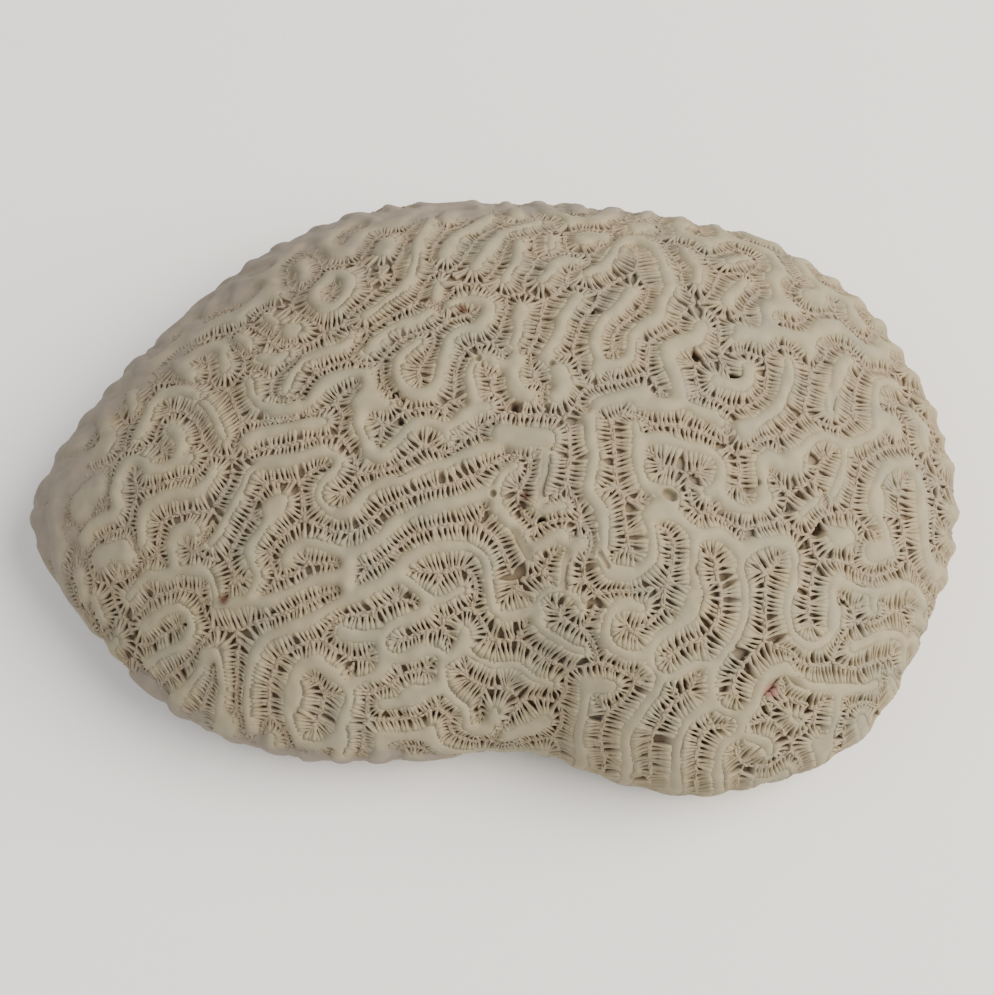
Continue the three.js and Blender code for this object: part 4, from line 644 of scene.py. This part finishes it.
# %% Signed distance to the ridges' edge, everywhere
SHORE_STEP = 0.15
OFF_THE_DRAWING = 5.0
shore_points = np.concatenate([resampled(line, SHORE_STEP) for line in shores])


def shore_distances():
    tree = KDTree(len(shore_points))
    for n, (x, y) in enumerate(shore_points):
        tree.insert((x, y, 0), n)
    tree.balance()
    inside = np.hypot(*(drawn - CENTRE).T) < HALF_WIDTH
    away = np.full(len(drawn), OFF_THE_DRAWING)
    for n in np.flatnonzero(inside):
        away[n] = tree.find((drawn[n, 0], drawn[n, 1], 0))[2]
    return (away * np.sign(EDGE.ravel())).reshape(EDGE.shape)


FROM_RIDGE = shore_distances()
print("widest valley, half:", FROM_RIDGE[FROM_RIDGE < OFF_THE_DRAWING].max().round(2), "mm")

# %% [markdown]
# ## The body
# A square grid is laid on the drawing as a disc with cells of nearly even size, and each corner is
# then moved to its place on the dome and up or down by the ridges' profile, as a sculptor would.
# A displacement texture could do it too, but corners that are really moved stay so in the export.
# The rim of the grid falls on the flat cut, where one face closes the body.

# %% Profile of ridge and valley
CREST_ROUNDING = 0.5  # from the crest to the shoulder where the plates begin
CREST_HALF_WIDTH = 1.1
FLOOR_DEPTH = 1.5
FLANK_WIDTH = 0.5
BASE_FADE = 5  # the relief fades out over this height above the cut
COMB_DEPTH = 0.95  # from the crest to the plates' edges along a valley's middle
EDGE_SHIFT = 0.02
EDGE_WANDER = ((0.26, 2.9, 4), (0.12, 1.2, 7))  # how far, lumps how wide, and a seed
CREST_WAVES = ((0.2, 6, 1), (0.1, 2.3, 2), (0.04, 1.1, 3))
WORN_LOSS = 0.45  # how much lower a ridge is where it has been rubbed level
RAGGED = ((0.25, 3, 5),)  # how ragged the border of the rubbed places is
BACK_CRISPNESS = 0.88  # depth of the gaps between the plates at the back
FRONT_GAIN = 0.28  # they are deeper at the front
FRONT_RIGHT_GAIN = 0.4  # and deepest at the front right
FRONT_SPAN = (0, 34)  # from the middle line to where the front is fully reached
RIGHT_SPAN = (-10, 35)
PIT_SHADE = 1.5  # a hole is coloured as if this much deeper than it is: painted shade in the hole
WORN = [  # rubbed places: strokes from, to, rubbed level as far as, and fresh past (mm)
    ((-77, 0), (-77, 0), 5, 25), ((-74, 10), (-60, 32), 2, 16), ((-60, 32), (-34, 51), 2, 25),
    ((-34, 51), (-4, 55), 0, 13), ((-4, 55), (20, 55), 0, 7), ((-60, -34), (-49, -45.5), 4.5, 9),
    ((-49, -45.5), (-35, -51), 5.5, 9.5), ((-35, -51), (-17, -53.5), 5, 9.5),
]

rng = np.random.default_rng(17)


def soft_noise(flat, size, seed):
    """Even noise in -1..1 with lumps about size mm wide."""
    lumps = np.random.default_rng(seed).uniform(-1, 1, (128, 128))
    at = (flat / size) % 127
    i0, j0 = at[:, 0].astype(int), at[:, 1].astype(int)
    u, v = (smoothstep(at[:, k] - n, 0, 1) for k, n in ((0, i0), (1, j0)))
    return ((lumps[j0, i0] * (1 - u) + lumps[j0, i0 + 1] * u) * (1 - v)
            + (lumps[j0 + 1, i0] * (1 - u) + lumps[j0 + 1, i0 + 1] * u) * v)


def waves(flat, sizes):
    """Noises of several sizes together: each has its height, the width of its lumps and a seed."""
    return sum(height * soft_noise(flat, width, seed) for height, width, seed in sizes)


def stroke_distance(flat, start, end):
    step = np.subtract(end, start)
    share = np.clip((flat - start) @ step / max(step @ step, 1e-9), 0, 1)
    return np.hypot(*(flat - start - share[:, None] * step).T)


def crest_drop(inside):
    """Fall from the crest level at a distance inside the ridge's edge."""
    return CREST_ROUNDING * (1 - np.clip(inside / CREST_HALF_WIDTH, 0, 1)) ** 2


def wear(flat):
    """1 where the skeleton has been rubbed level, 0 where it is fresh."""
    worn = np.zeros(len(flat))
    ragged = waves(flat, RAGGED)
    for start, end, level, fresh in WORN:
        away = stroke_distance(flat, start, end)
        worn = np.maximum(worn, 1 - smoothstep(away + ragged * fresh, level, fresh))
    return worn


def relief(flat, up):
    """What is left of the ridges and of the plates: 1 where fresh, less where worn and at the cut."""
    worn = wear(flat)
    above_cut = smoothstep(up, 0, BASE_FADE)
    front = smoothstep(-flat[:, 1], *FRONT_SPAN)
    right = smoothstep(flat[:, 0], *RIGHT_SPAN)
    crispness = BACK_CRISPNESS + (FRONT_GAIN + FRONT_RIGHT_GAIN * right) * front
    return (1 - WORN_LOSS * worn) * above_cut, (1 - worn) * above_cut * crispness


def crest_level(flat):
    """Slow waves and small lumps along the ridges and over the whole surface, in mm."""
    return waves(flat, CREST_WAVES)


def body_drop(flat, up):
    """How far the surface lies below the dome, and how deep it looks to the material, which paints shade by
    it.
    """
    away = read_grid(FROM_RIDGE, flat, DRAWING_CELL) + EDGE_SHIFT + waves(flat, EDGE_WANDER)
    coarse, fine = relief(flat, up)
    drop = np.where(away < 0, crest_drop(-away), CREST_ROUNDING) * coarse
    flank = smoothstep(away, 0, FLANK_WIDTH)
    drop += ((COMB_DEPTH - CREST_ROUNDING) * coarse + (FLOOR_DEPTH - COMB_DEPTH) * fine) * flank
    dent, painted_pit_shade = dented(flat)
    # The second value, which the material darkens by, holds the painted shade of the valleys and the holes
    return drop + dent - crest_level(flat), drop + PIT_SHADE * painted_pit_shade


print("a valley's floor is", FLOOR_DEPTH, "mm below the crest,", len(WORN), "strokes of wear")

# %% [markdown]
# ## Holes, grooves and stains
# Some spots are not part of the regular pattern: worm and barnacle holes a millimetre wide, holes in
# a valley where plates broke out, and grooves along a ridge. Each is a short stroke with a width and
# a depth, pressed into the surface like a round stylus into clay.

# %% Holes and grooves, in millimetres
ROUND_HOLES = [  # x, y, radius, depth and painted shade
    (-0.6, -6.2, 0.6, 0.9, 0.5), (-2.7, 14.1, 0.6, 0.7, 0.3), (7.7, 13.6, 0.6, 0.8, 0.3),
    (-14.3, 9, 0.6, 1.6, 1), (-13, 7.7, 0.5, 1.5, 1), (-5.2, 8.2, 0.6, 1.6, 1),
    (-13.4, 4.8, 0.5, 1.5, 1), (-23.1, 7.8, 0.6, 1.6, 1), (-14.9, -22.5, 0.6, 1.8, 1),
    (-32, -21.7, 0.6, 1.8, 1), (-13.4, -3.3, 0.5, 1.5, 1), (46.7, -8.2, 1.1, 1.7, 0.6),
    (6.3, -10, 0.7, 1.7, 1), (5.9, -11.7, 0.6, 1.8, 1), (14, 24, 0.6, 1.5, 0.8), (37, 1.9, 0.6, 1.6, 1),
    (43.8, -3.6, 0.6, 1.6, 0.8), (41.8, -5.7, 0.6, 1.6, 0.8), (44, -11, 0.6, 1.6, 0.8),
    (36.7, -2.8, 0.6, 1.6, 0.8),
]
LONG_HOLES = [  # from, to, radius, depth and painted shade
    ((23.4, -5.6), (24.2, -5.9), 0.9, 1.3, 0.5), ((52.9, -15), (54.2, -15.3), 0.8, 2.2, 1),
    ((34.9, 14.2), (34.9, 15.1), 0.8, 1.8, 0.9), ((29.2, 16.8), (29.5, 17.5), 0.7, 1.7, 1),
    ((32, 6.9), (32, 7.4), 0.7, 1.7, 0.9), ((2.5, 6), (2.5, 6.8), 0.6, 1.9, 1),
    ((50, -18.5), (51.3, -19), 0.7, 2.2, 1), ((2.2, -11.5), (4.1, -14.3), 1.0, 0.5, 0.15),
    ((9.4, -14.5), (9.2, -18.8), 1.0, 0.5, 0.15), ((6.9, 0), (6.1, -7.5), 1.1, 0.5, 0.2),
    ((50.3, 11), (50.3, 15), 1.0, 0.5, 0.2), ((14, -14.3), (15.1, -16), 0.45, 0.5, 0.3),
    ((27, -15.6), (27, -16.4), 1.0, 0.4, 0.2), ((27.5, -19.2), (27.5, -20), 0.9, 0.35, 0.2),
    ((40, -32), (42.5, -31.5), 2.2, 0.7, 0.1),
]
HOLES = [((x, y), (x, y), *rest) for x, y, *rest in ROUND_HOLES] + LONG_HOLES
OPEN_PAST = 0.25  # in holes darker than this the plates have gone
HOLE_FLOOR = 0.45  # share of a hole's radius that is level


def dented(flat):
    """Depth of the holes at unrolled places, and how much painted shade they get."""
    depth, dark = np.zeros(len(flat)), np.zeros(len(flat))
    for start, end, radius, deep, shade in HOLES:
        inside = 1 - smoothstep(stroke_distance(flat, start, end), HOLE_FLOOR * radius, radius)
        depth = np.maximum(depth, deep * inside)
        dark = np.maximum(dark, shade * inside)
    return depth, dark


def in_a_hole(flat, margin):
    open_holes = [hole for hole in HOLES if hole[-1] > OPEN_PAST]
    return np.any([stroke_distance(flat, a, b) < r + margin for a, b, r, *_ in open_holes], axis=0)


print(len(ROUND_HOLES), "round holes,", len(LONG_HOLES), "long ones and grooves")

# %% What the material needs to know at each point
# Round spots: x, y and radius
RUST = [(4, -6.5, 1.0), (-5, 23.5, 1.1), (-39.5, -19, 1.1), (-59.5, -25.5, 1.0), (3.2, -7.9, 0.6)]
RED_ALGAE = [(-21, 19, 0.45), (53.5, 22.5, 0.45), (21, -18, 0.5), (40, -32, 1.6), (-27.5, 12, 0.4)]
SPOT_CORE = 0.4  # share of a spot's radius that is fully coloured


def spots(flat, places):
    """1 in the middle of each round spot, 0 past its radius."""
    return np.max([1 - smoothstep(np.hypot(*(flat - (x, y)).T), SPOT_CORE * r, r)
                   for x, y, r in places], axis=0)


def store(mesh, name, values):
    mesh.attributes.new(name, "FLOAT", "POINT").data.foreach_set("value", values)


def store_looks(mesh, flat, drop):
    # The depth below the crest, by which the material paints shade into the valleys
    store(mesh, "depth", drop / FLOOR_DEPTH)
    store(mesh, "worn", wear(flat))
    store(mesh, "rust", spots(flat, RUST))
    store(mesh, "red_algae", spots(flat, RED_ALGAE))


print(len(RUST), "rusty spots,", len(RED_ALGAE), "red ones")

# %% From a square to the unrolled dome
BODY_CELLS = 300
FINER_AROUND = 0.5  # the cells are cut smaller as far as this around a hole
ON_THE_CUT = 1 - 1e-6  # share of the walk from which a corner lies on the cut


def disc_from_square(square):
    """A square of side 2 pressed into a disc of radius 1 with even cells."""
    a, b = square.T
    wide = np.abs(a) > np.abs(b)
    radius = np.where(wide, a, b)
    other = np.where(wide, b, a)
    turn = math.pi / 4 * other / np.where(radius == 0, 1, radius)
    turn = np.where(wide, turn, math.pi / 2 - turn)
    return np.stack([radius * np.cos(turn), radius * np.sin(turn)], axis=1)


def coordinates(mesh):
    values = np.empty(len(mesh.vertices) * 3)
    mesh.vertices.foreach_get("co", values)
    return values.reshape(-1, 3)


def unrolled(square):
    """Places on the drawing for places in the square, and their share of the walk to the cut."""
    disc = disc_from_square(square)
    direction = np.arctan2(disc[:, 1], disc[:, 0])
    share = np.hypot(disc[:, 0], disc[:, 1])
    walked = share * walk_to_cut(direction)
    return CENTRE + walked[:, None] * np.stack([np.cos(direction), np.sin(direction)], axis=1), share


print("the body's grid has", BODY_CELLS, "cells along each side")

# %% The body's mesh
def make_body():
    shape = bmesh.new()
    bmesh.ops.create_grid(shape, x_segments=BODY_CELLS, y_segments=BODY_CELLS, size=1)
    square = np.array([v.co[:2] for v in shape.verts])
    near_hole = in_a_hole(unrolled(square)[0], FINER_AROUND)
    finer = [e for e in shape.edges if near_hole[e.verts[0].index] and near_hole[e.verts[1].index]]
    bmesh.ops.subdivide_edges(shape, edges=finer, cuts=2, use_grid_fill=True)
    mesh = bpy.data.meshes.new("coral_body")
    shape.to_mesh(mesh)
    flat, share = unrolled(coordinates(mesh)[:, :2])
    _, up = onto_dome(flat, np.zeros(len(flat)))
    sunk, drop = body_drop(flat, up)
    place, _ = onto_dome(flat, -sunk)
    on_the_cut = share > ON_THE_CUT
    place[on_the_cut, 2] = 0
    mesh.vertices.foreach_set("co", (place * MM).ravel())
    shape.clear()
    shape.from_mesh(mesh)
    rim = [e for e in shape.edges if e.is_boundary]
    bmesh.ops.holes_fill(shape, edges=rim, sides=0)
    bmesh.ops.recalc_face_normals(shape, faces=shape.faces[:])
    for face in shape.faces:
        face.smooth = len(face.verts) < 9  # only the cut has more corners
    shape.to_mesh(mesh)
    shape.free()
    store_looks(mesh, flat, drop)
    store(mesh, "sawn", on_the_cut.astype(float))
    return placed("coral_body", mesh)


body = make_body()
body_triangles = sum(len(face.vertices) - 2 for face in body.data.polygons)
print("body:", len(body.data.polygons), "faces,", body_triangles, "triangles")

# %% [markdown]
# ## The plates
# About fifteen thin plates to the centimetre stand in each valley, square to the ridge. Each is
# modelled once as a bar with a five-cornered section in five steps, and copies of it are set along
# the shores: a copy runs from inside the ridge to the middle of the valley, where it meets the
# plates of the other side. It is widest at both ends, so the gaps between two plates are lens-shaped,
# and the wide inner ends together make the line along the middle of the valley. Ten thousand objects
# would be slow, and hair or instances aren't exported as shapes, so the pattern's corners and faces
# are repeated inside four meshes.

# %% Where the plates stand
PLATE_SPACING = 0.66
LONGEST_PLATE = 3.3
SHORTEST_PLATE = 0.5
HALFWAY = 0.9  # from the ridge's edge to halfway down a plate
PAST_MIDDLE = 0.35  # a plate ends where the opposite ridge is nearer by this much
BROKEN_SHARE = 0.05  # plates that have broken out
ABOVE_CUT = 3.5  # no plate stands nearer to the cut than this
ROOT_SHIFT = 0.12  # a plate's root lies up to this far from its even place
LEAN = ((0.27, 2.5, 6),)  # neighbouring plates lean together, by a share of their reach
OWN_LEAN = 0.12
TIP_SHARE = 0.53  # half the width of a tip, as a share of the way to its neighbour
TIP_GAPS = (0.2, 0.8)  # the least and the most that this way counts for
OVER_A_HOLE = 0.6  # this share of a plate's reach mustn't lie over an open hole
FINE_STEP = 0.2  # along a shore, to space the plates
FIRST_LOOK = 0.3  # where a plate starts to look for the valley's middle
LOOK_STEP = 0.08


def shore_normals(points):
    """Unit directions from the ridge into the valley."""
    step = np.array([(DRAWING_CELL, 0), (0, DRAWING_CELL)])
    slope = np.stack([read_grid(EDGE, points + s, DRAWING_CELL)
                      - read_grid(EDGE, points - s, DRAWING_CELL) for s in step], axis=1)
    return slope / np.maximum(np.hypot(*slope.T), 1e-9)[:, None]


def valley_reach(roots, normals):
    """How far each plate runs before the opposite ridge is nearer than its own."""
    reach = np.full(len(roots), LONGEST_PLATE)
    open_still = np.ones(len(roots), bool)
    for t in np.arange(FIRST_LOOK, LONGEST_PLATE, LOOK_STEP):
        away = read_grid(FROM_RIDGE, roots + normals * t, DRAWING_CELL)
        stop = open_still & (away < t - PAST_MIDDLE)
        reach[stop] = t
        open_still &= ~stop
    return reach


def plate_roots(line):
    """Places along a shore, evenly spaced there or halfway down the plates, whichever is the longer way."""
    fine = resampled(line, FINE_STEP)
    halfway = fine + HALFWAY * shore_normals(fine)
    steps = [np.hypot(*np.diff(way, axis=0).T) for way in (fine, halfway)]
    walked = np.concatenate([[0], np.cumsum(np.maximum(*steps))])
    stops = np.arange(0, walked[-1], PLATE_SPACING)
    return np.stack([np.interp(stops, walked, fine[:, k]) for k in (0, 1)], axis=1)


def plate_layout():
    """Root, direction, reach, width of the tip and the next plate's tip for every plate."""
    rows = []
    for line in shores:
        roots = plate_roots(line)
        if len(roots) < 3:
            continue
        roots = roots + rng.uniform(-ROOT_SHIFT, ROOT_SHIFT, roots.shape)
        normals = shore_normals(roots)
        lean = waves(roots, LEAN) + rng.uniform(-OWN_LEAN, OWN_LEAN, len(roots))
        along = np.stack([-normals[:, 1], normals[:, 0]], axis=1)
        normals = normals + along * lean[:, None]
        reach = valley_reach(roots, normals)
        tips = roots + normals * reach[:, None]
        gap = np.hypot(*(tips - np.roll(tips, -1, axis=0)).T)
        tip_width = TIP_SHARE * np.clip(np.maximum(gap, np.roll(gap, 1)), *TIP_GAPS)
        rows.append(np.column_stack([roots, normals, reach, tip_width, np.roll(tips, -1, axis=0)]))
    plates = np.concatenate(rows)
    direction = np.arctan2(*(plates[:, 1::-1] - CENTRE[::-1]).T)
    walked = np.hypot(*(plates[:, :2] - CENTRE).T)
    kept = (walked < walk_to_cut(direction) - ABOVE_CUT) & (plates[:, 4] > SHORTEST_PLATE)
    kept &= rng.random(len(plates)) > BROKEN_SHARE
    middle = plates[:, :2] + plates[:, 2:4] * plates[:, 4:5] * OVER_A_HOLE
    kept &= ~in_a_hole(middle, 0.0)
    return plates[kept]


plates = plate_layout()
print(len(plates), "plates, mean reach", plates[:, 4].mean().round(2), "mm")

# %% One plate
PLATE_STEPS = 5


def make_plate_pattern():
    """A closed bar: x counts the steps, y is -1..1 across, z is 0 at the foot and 1 at the edge."""
    shape = bmesh.new()
    section = [(0, -0.8, 0), (0, -1, 0.9), (0, 0, 1), (0, 1, 0.9), (0, 0.8, 0)]
    end = shape.faces.new([shape.verts.new(corner) for corner in section])
    for step in range(PLATE_STEPS):
        made = bmesh.ops.extrude_face_region(shape, geom=[end])
        moved = [g for g in made["geom"] if isinstance(g, bmesh.types.BMVert)]
        bmesh.ops.translate(shape, verts=moved, vec=(1, 0, 0))
        if step > 0:
            bmesh.ops.delete(shape, geom=[end], context="FACES_ONLY")
        end = next(g for g in made["geom"] if isinstance(g, bmesh.types.BMFace))
    bmesh.ops.recalc_face_normals(shape, faces=shape.faces[:])
    # Extruding makes the side faces in any order, so they are sorted to be the same in every run
    shape.faces.sort(key=lambda face: face.calc_center_median().dot(Vector((10, 3, 1))))
    return mesh_of("plate_pattern", shape)


plate_pattern = make_plate_pattern()
print("one plate:", len(plate_pattern.vertices), "corners,", len(plate_pattern.polygons), "faces")

# %% Joining copies of a pattern
def joined_copies(name, pattern, points):
    """One smooth mesh with a copy of the pattern for each row of corner places, in mm."""
    copies, size = points.shape[:2]
    loops = np.empty(len(pattern.loops), int)
    pattern.loops.foreach_get("vertex_index", loops)
    starts = np.array([p.loop_start for p in pattern.polygons])
    row = np.arange(copies)[:, None]
    mesh = bpy.data.meshes.new(name)
    mesh.vertices.add(copies * size)
    mesh.vertices.foreach_set("co", (points * MM).ravel())
    mesh.loops.add(copies * len(loops))
    mesh.loops.foreach_set("vertex_index", (row * size + loops).ravel())
    mesh.polygons.add(copies * len(starts))
    mesh.polygons.foreach_set("loop_start", (row * len(loops) + starts).ravel())
    mesh.polygons.foreach_set("use_smooth", np.ones(copies * len(starts), bool))
    mesh.update(calc_edges=True)
    return mesh


# %% The plates on the coral
PLATE_ROOT = -0.45  # starts this far inside the ridge
TIP_LENGTH = 0.3  # the last step, where neighbours have grown together
STATION_SHARES = np.array([0.0, 0.32, 0.62, 0.86, 1.0, 1.0])
HALF_WIDTHS = np.array([0.5, 0.3, 0.14, 0.14, 0.0, 0.0])  # the last two come from the neighbours' tips
TIP_SHARES = np.array([0, 0, 0, 0.25, 1, 1])
EDGE_DROPS = np.array([0.2, 0.42, 0.6, 0.72, 0.76, 0.72])  # below the crest level
PLATE_FOOT = 1.9  # below the crest level, so that it is sunk in the valley's floor
LEAST_FOOT = 0.15  # share of the foot that is left where the skeleton is worn level
RUBBED_OFF = 0.35  # how much lower the plates' edges are there
THICKNESS_SPREAD = (0.75, 1.4)  # from the thinnest plate to the thickest
PLATE_SINK = (-0.1, 0.12)  # how much a plate's edge lies lower or higher than its neighbours'
STEP_SINK = (-0.08, 0.08)  # and each step along it


def plate_mesh(name, rows):
    """All plates of these rows as one mesh, with the depth of each corner below the crest."""
    pattern = coordinates(plate_pattern)
    station = pattern[:, 0].round().astype(int)
    count = len(rows)
    root, normal = rows[:, None, 0:2], rows[:, None, 2:4]
    reach, tip = rows[:, None, 4], rows[:, None, 5]
    walk = PLATE_ROOT + STATION_SHARES[station] * (reach - TIP_LENGTH - PLATE_ROOT)
    walk = walk + TIP_LENGTH * (station == PLATE_STEPS)
    width = HALF_WIDTHS[station] * rng.uniform(*THICKNESS_SPREAD, (count, 1)) + TIP_SHARES[station] * tip
    across = np.stack([-normal[..., 1], normal[..., 0]], axis=-1)
    flat = root + normal * walk[..., None] + across * (pattern[:, 1] * width)[..., None]
    sink = rng.uniform(*PLATE_SINK, (count, 1))
    sink = sink + rng.uniform(*STEP_SINK, (count, PLATE_STEPS + 1))[:, station]
    top = EDGE_DROPS[station] + np.where(station > 0, sink, 0)
    low = np.broadcast_to(1 - pattern[:, 2], top.shape)
    flat, top, low = flat.reshape(-1, 2), top.ravel(), low.ravel()
    _, up = onto_dome(flat, np.zeros(len(flat)))
    coarse, fine = relief(flat, up)
    foot = (PLATE_FOOT - top) * low * np.maximum(fine, LEAST_FOOT)
    drop = top * coarse + foot + RUBBED_OFF * (1 - fine)
    place, _ = onto_dome(flat, crest_level(flat) - drop)
    mesh = joined_copies(name, plate_pattern, place.reshape(count, -1, 3))
    store_looks(mesh, flat, drop)
    return mesh


def make_plates(sectors=4):
    """The plates in joined pieces, one for each quarter of the coral from left to right."""
    order = plates[np.argsort(plates[:, 0])]
    pieces = []
    for n, rows in enumerate(np.array_split(order, sectors)):
        name = f"plates_{n + 1}"
        pieces.append(placed(name, plate_mesh(name, rows)))
    return pieces


plate_pieces = make_plates()
for piece in plate_pieces:
    print(piece.name, len(piece.data.polygons), "faces")

# %% [markdown]
# ## The spongy line
# Where the plates of both sides meet, small rods join their tips to a spongy line along the valley's
# middle, the columella. A rod is modelled once as a low-sided ball and stretched from each plate's tip
# to the next one's; no two have the same thickness or height.

# %% Rods between the plates' tips
LONGEST_ROD = 1.5
ROD_RADII = (0.17, 0.27)
ROD_OVERLAP = 0.13  # reaches this far into the tips
BEFORE_TIP = 0.12  # a rod starts this far before its plate's end
ROD_SHARE = 0.93  # the others have broken out
ROD_SINK = (-0.17, 0.05)  # below the plates' edges


def unit(vectors):
    return vectors / np.maximum(np.linalg.norm(vectors, axis=-1, keepdims=True), 1e-9)


def make_rod_pattern():
    shape = bmesh.new()
    bmesh.ops.create_icosphere(shape, subdivisions=1, radius=1)
    return mesh_of("rod_pattern", shape)


def make_rods():
    pattern = make_rod_pattern()
    tips = plates[:, :2] + plates[:, 2:4] * (plates[:, 4:5] - BEFORE_TIP)
    others = plates[:, 6:8]
    near = np.hypot(*(others - tips).T) < LONGEST_ROD
    joined = near & (rng.random(len(plates)) < ROD_SHARE)
    tips, others = tips[joined], others[joined]
    middle = (tips + others) / 2
    _, up = onto_dome(middle, np.zeros(len(middle)))
    coarse, fine = relief(middle, up)
    drop = (COMB_DEPTH + rng.uniform(*ROD_SINK, len(middle))) * coarse + RUBBED_OFF * (1 - fine)
    height = crest_level(middle) - drop
    ends = [onto_dome(flat, height)[0] for flat in (tips, others)]
    outward = unit(onto_dome(middle, height + 1)[0] - onto_dome(middle, height)[0])
    along = unit(ends[1] - ends[0])
    sideways = unit(np.cross(outward, along))
    half = np.linalg.norm(ends[1] - ends[0], axis=1) / 2 + ROD_OVERLAP
    radii = rng.uniform(*ROD_RADII, (len(middle), 2))
    ball = coordinates(pattern)
    points = (ends[0] + ends[1])[:, None, :] / 2
    for axis, reach, k in ((along, half, 0), (sideways, radii[:, 0], 1), (outward, radii[:, 1], 2)):
        points = points + (axis * reach[:, None])[:, None, :] * ball[None, :, k:k + 1]
    mesh = joined_copies("spongy_line", pattern, points)
    store_looks(mesh, np.repeat(middle, len(ball), axis=0), np.repeat(drop, len(ball)))
    return placed("spongy_line", mesh)


rods = make_rods()
print("rods:", len(rods.data.polygons), "faces")

# %% [markdown]
# ## Aragonite
# Coral skeleton is aragonite, a chalky limestone: matt, slightly see-through at thin edges, cream to
# grey. The valleys are painted darker and browner the deeper they lie: painted shade between the
# plates. That could be painted by hand. Here the depth below the crest is stored at each corner of the
# meshes and turns the cream into the brown, so the painted shade follows the shape wherever it goes.

# %% The material
def add_node(tree, kind, settings=None, links=None):
    """A node with its settings and input links: {"Fac": value or (node, output)}."""
    node = tree.nodes.new(kind)
    for key, value in (settings or {}).items():
        setattr(node, key, value)
    for key, source in (links or {}).items():
        if isinstance(source, tuple) and isinstance(source[0], bpy.types.Node):
            tree.links.new(source[0].outputs[source[1]], node.inputs[key])
        else:
            node.inputs[key].default_value = source
    return node


def mixed(tree, share, first, second):
    """The first colour turned into the second by a share of 0 to 1."""
    mix = add_node(tree, "ShaderNodeMix", {"data_type": "RGBA"})  # 6 and 7 are its colour inputs
    for socket, source in ((mix.inputs["Factor"], share), (mix.inputs[6], first), (mix.inputs[7], second)):
        if isinstance(source, bpy.types.NodeSocket):
            tree.links.new(source, socket)
        else:
            socket.default_value = source
    return mix.outputs[2]


def noise_share(tree, place, size, low, high):
    """A noise with patches about size mm wide, stretched from low..high to 0..1."""
    noise = add_node(tree, "ShaderNodeTexNoise", links={
        "Vector": (place, "Object"), "Scale": 1 / (size * MM), "Detail": 2.0})
    return add_node(tree, "ShaderNodeMapRange", links={
        "Value": (noise, "Fac"), "From Min": low, "From Max": high}).outputs["Result"]


def attribute_share(tree, name):
    return add_node(tree, "ShaderNodeAttribute", {"attribute_name": name}).outputs["Fac"]


def dry_aragonite():
    material = bpy.data.materials.new("dry aragonite, weathered, with painted shade")
    material.use_nodes = True
    tree = material.node_tree
    shader = tree.nodes["Principled BSDF"]
    place = add_node(tree, "ShaderNodeTexCoord")
    # The ramp darkens the colour with the depth below the crest: painted shade in the valleys and holes
    depth_shade_ramp = add_node(tree, "ShaderNodeValToRGB")
    tree.links.new(attribute_share(tree, "depth"), depth_shade_ramp.inputs["Fac"])
    stops = depth_shade_ramp.color_ramp.elements
    stops[0].color, stops[1].color = linear("#938a70"), linear("#796953")
    for position, colour in ((0.3, "#93886c"), (0.62, "#908069"), (0.8, "#887862")):
        stops.new(position).color = linear(colour)
    # Ridges are greenish grey in some places and cream in others, in patches half a finger wide
    patches = noise_share(tree, place, 7, 0.45, 0.85)
    colour = mixed(tree, patches, depth_shade_ramp.outputs["Color"], linear("#858170"))
    # Rubbed places turn a darker grey: partly the worn skeleton's own grey, partly painted shade along the
    # rim where it turns under
    colour = mixed(tree, attribute_share(tree, "worn"), colour, linear("#81776a"))
    # The saw opened the pores between the plates, which show as dark dots on the pale cut
    cells = add_node(tree, "ShaderNodeTexVoronoi", links={
        "Vector": (place, "Object"), "Scale": 1 / (1.1 * MM)})
    pores = add_node(tree, "ShaderNodeMapRange", links={
        "Value": (cells, "Distance"), "From Min": 0.22, "From Max": 0.38}).outputs["Result"]
    cut_face = mixed(tree, pores, linear("#5b4d3c"), linear("#979080"))
    colour = mixed(tree, attribute_share(tree, "sawn"), colour, cut_face)
    colour = mixed(tree, attribute_share(tree, "rust"), colour, linear("#4f3222"))
    colour = mixed(tree, attribute_share(tree, "red_algae"), colour, linear("#8a655a"))
    tone = add_node(tree, "ShaderNodeMapRange", links={"To Min": 0.86, "To Max": 1.08})
    tree.links.new(noise_share(tree, place, 2.2, 0.25, 0.75), tone.inputs["Value"])
    toned = add_node(tree, "ShaderNodeVectorMath", {"operation": "SCALE"}, {"Scale": (tone, "Result")})
    tree.links.new(colour, toned.inputs[0])
    tree.links.new(toned.outputs["Vector"], shader.inputs["Base Color"])
    # The crystals are far finer than a pixel, so the grain is drawn half a millimetre coarse
    grain = add_node(tree, "ShaderNodeTexNoise", links={
        "Vector": (place, "Object"), "Scale": 1 / (0.5 * MM), "Detail": 2.0})
    bump = add_node(tree, "ShaderNodeBump", links={
        "Height": (grain, "Fac"), "Strength": 0.25, "Distance": 0.1 * MM})
    tree.links.new(bump.outputs["Normal"], shader.inputs["Normal"])
    shader.inputs["Roughness"].default_value = 0.85
    shader.inputs["IOR"].default_value = 1.53
    return material


aragonite = dry_aragonite()
for piece in [body, rods] + plate_pieces:
    piece.data.materials.append(aragonite)
print("material:", aragonite.name)

# %% [markdown]
# ## Joining the looks to the solid
# The coral can't move, so every piece rides on the root. All of them together are the skeleton's
# surface, so each one stands in for the solid. The floor is only there for the picture.

# %% Bodies and nodes
for piece in [body, rods] + plate_pieces:
    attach(piece, "root")
    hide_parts("coral_skeleton")
print(len(plate_pieces) + 2, "pieces stand in for the solid")
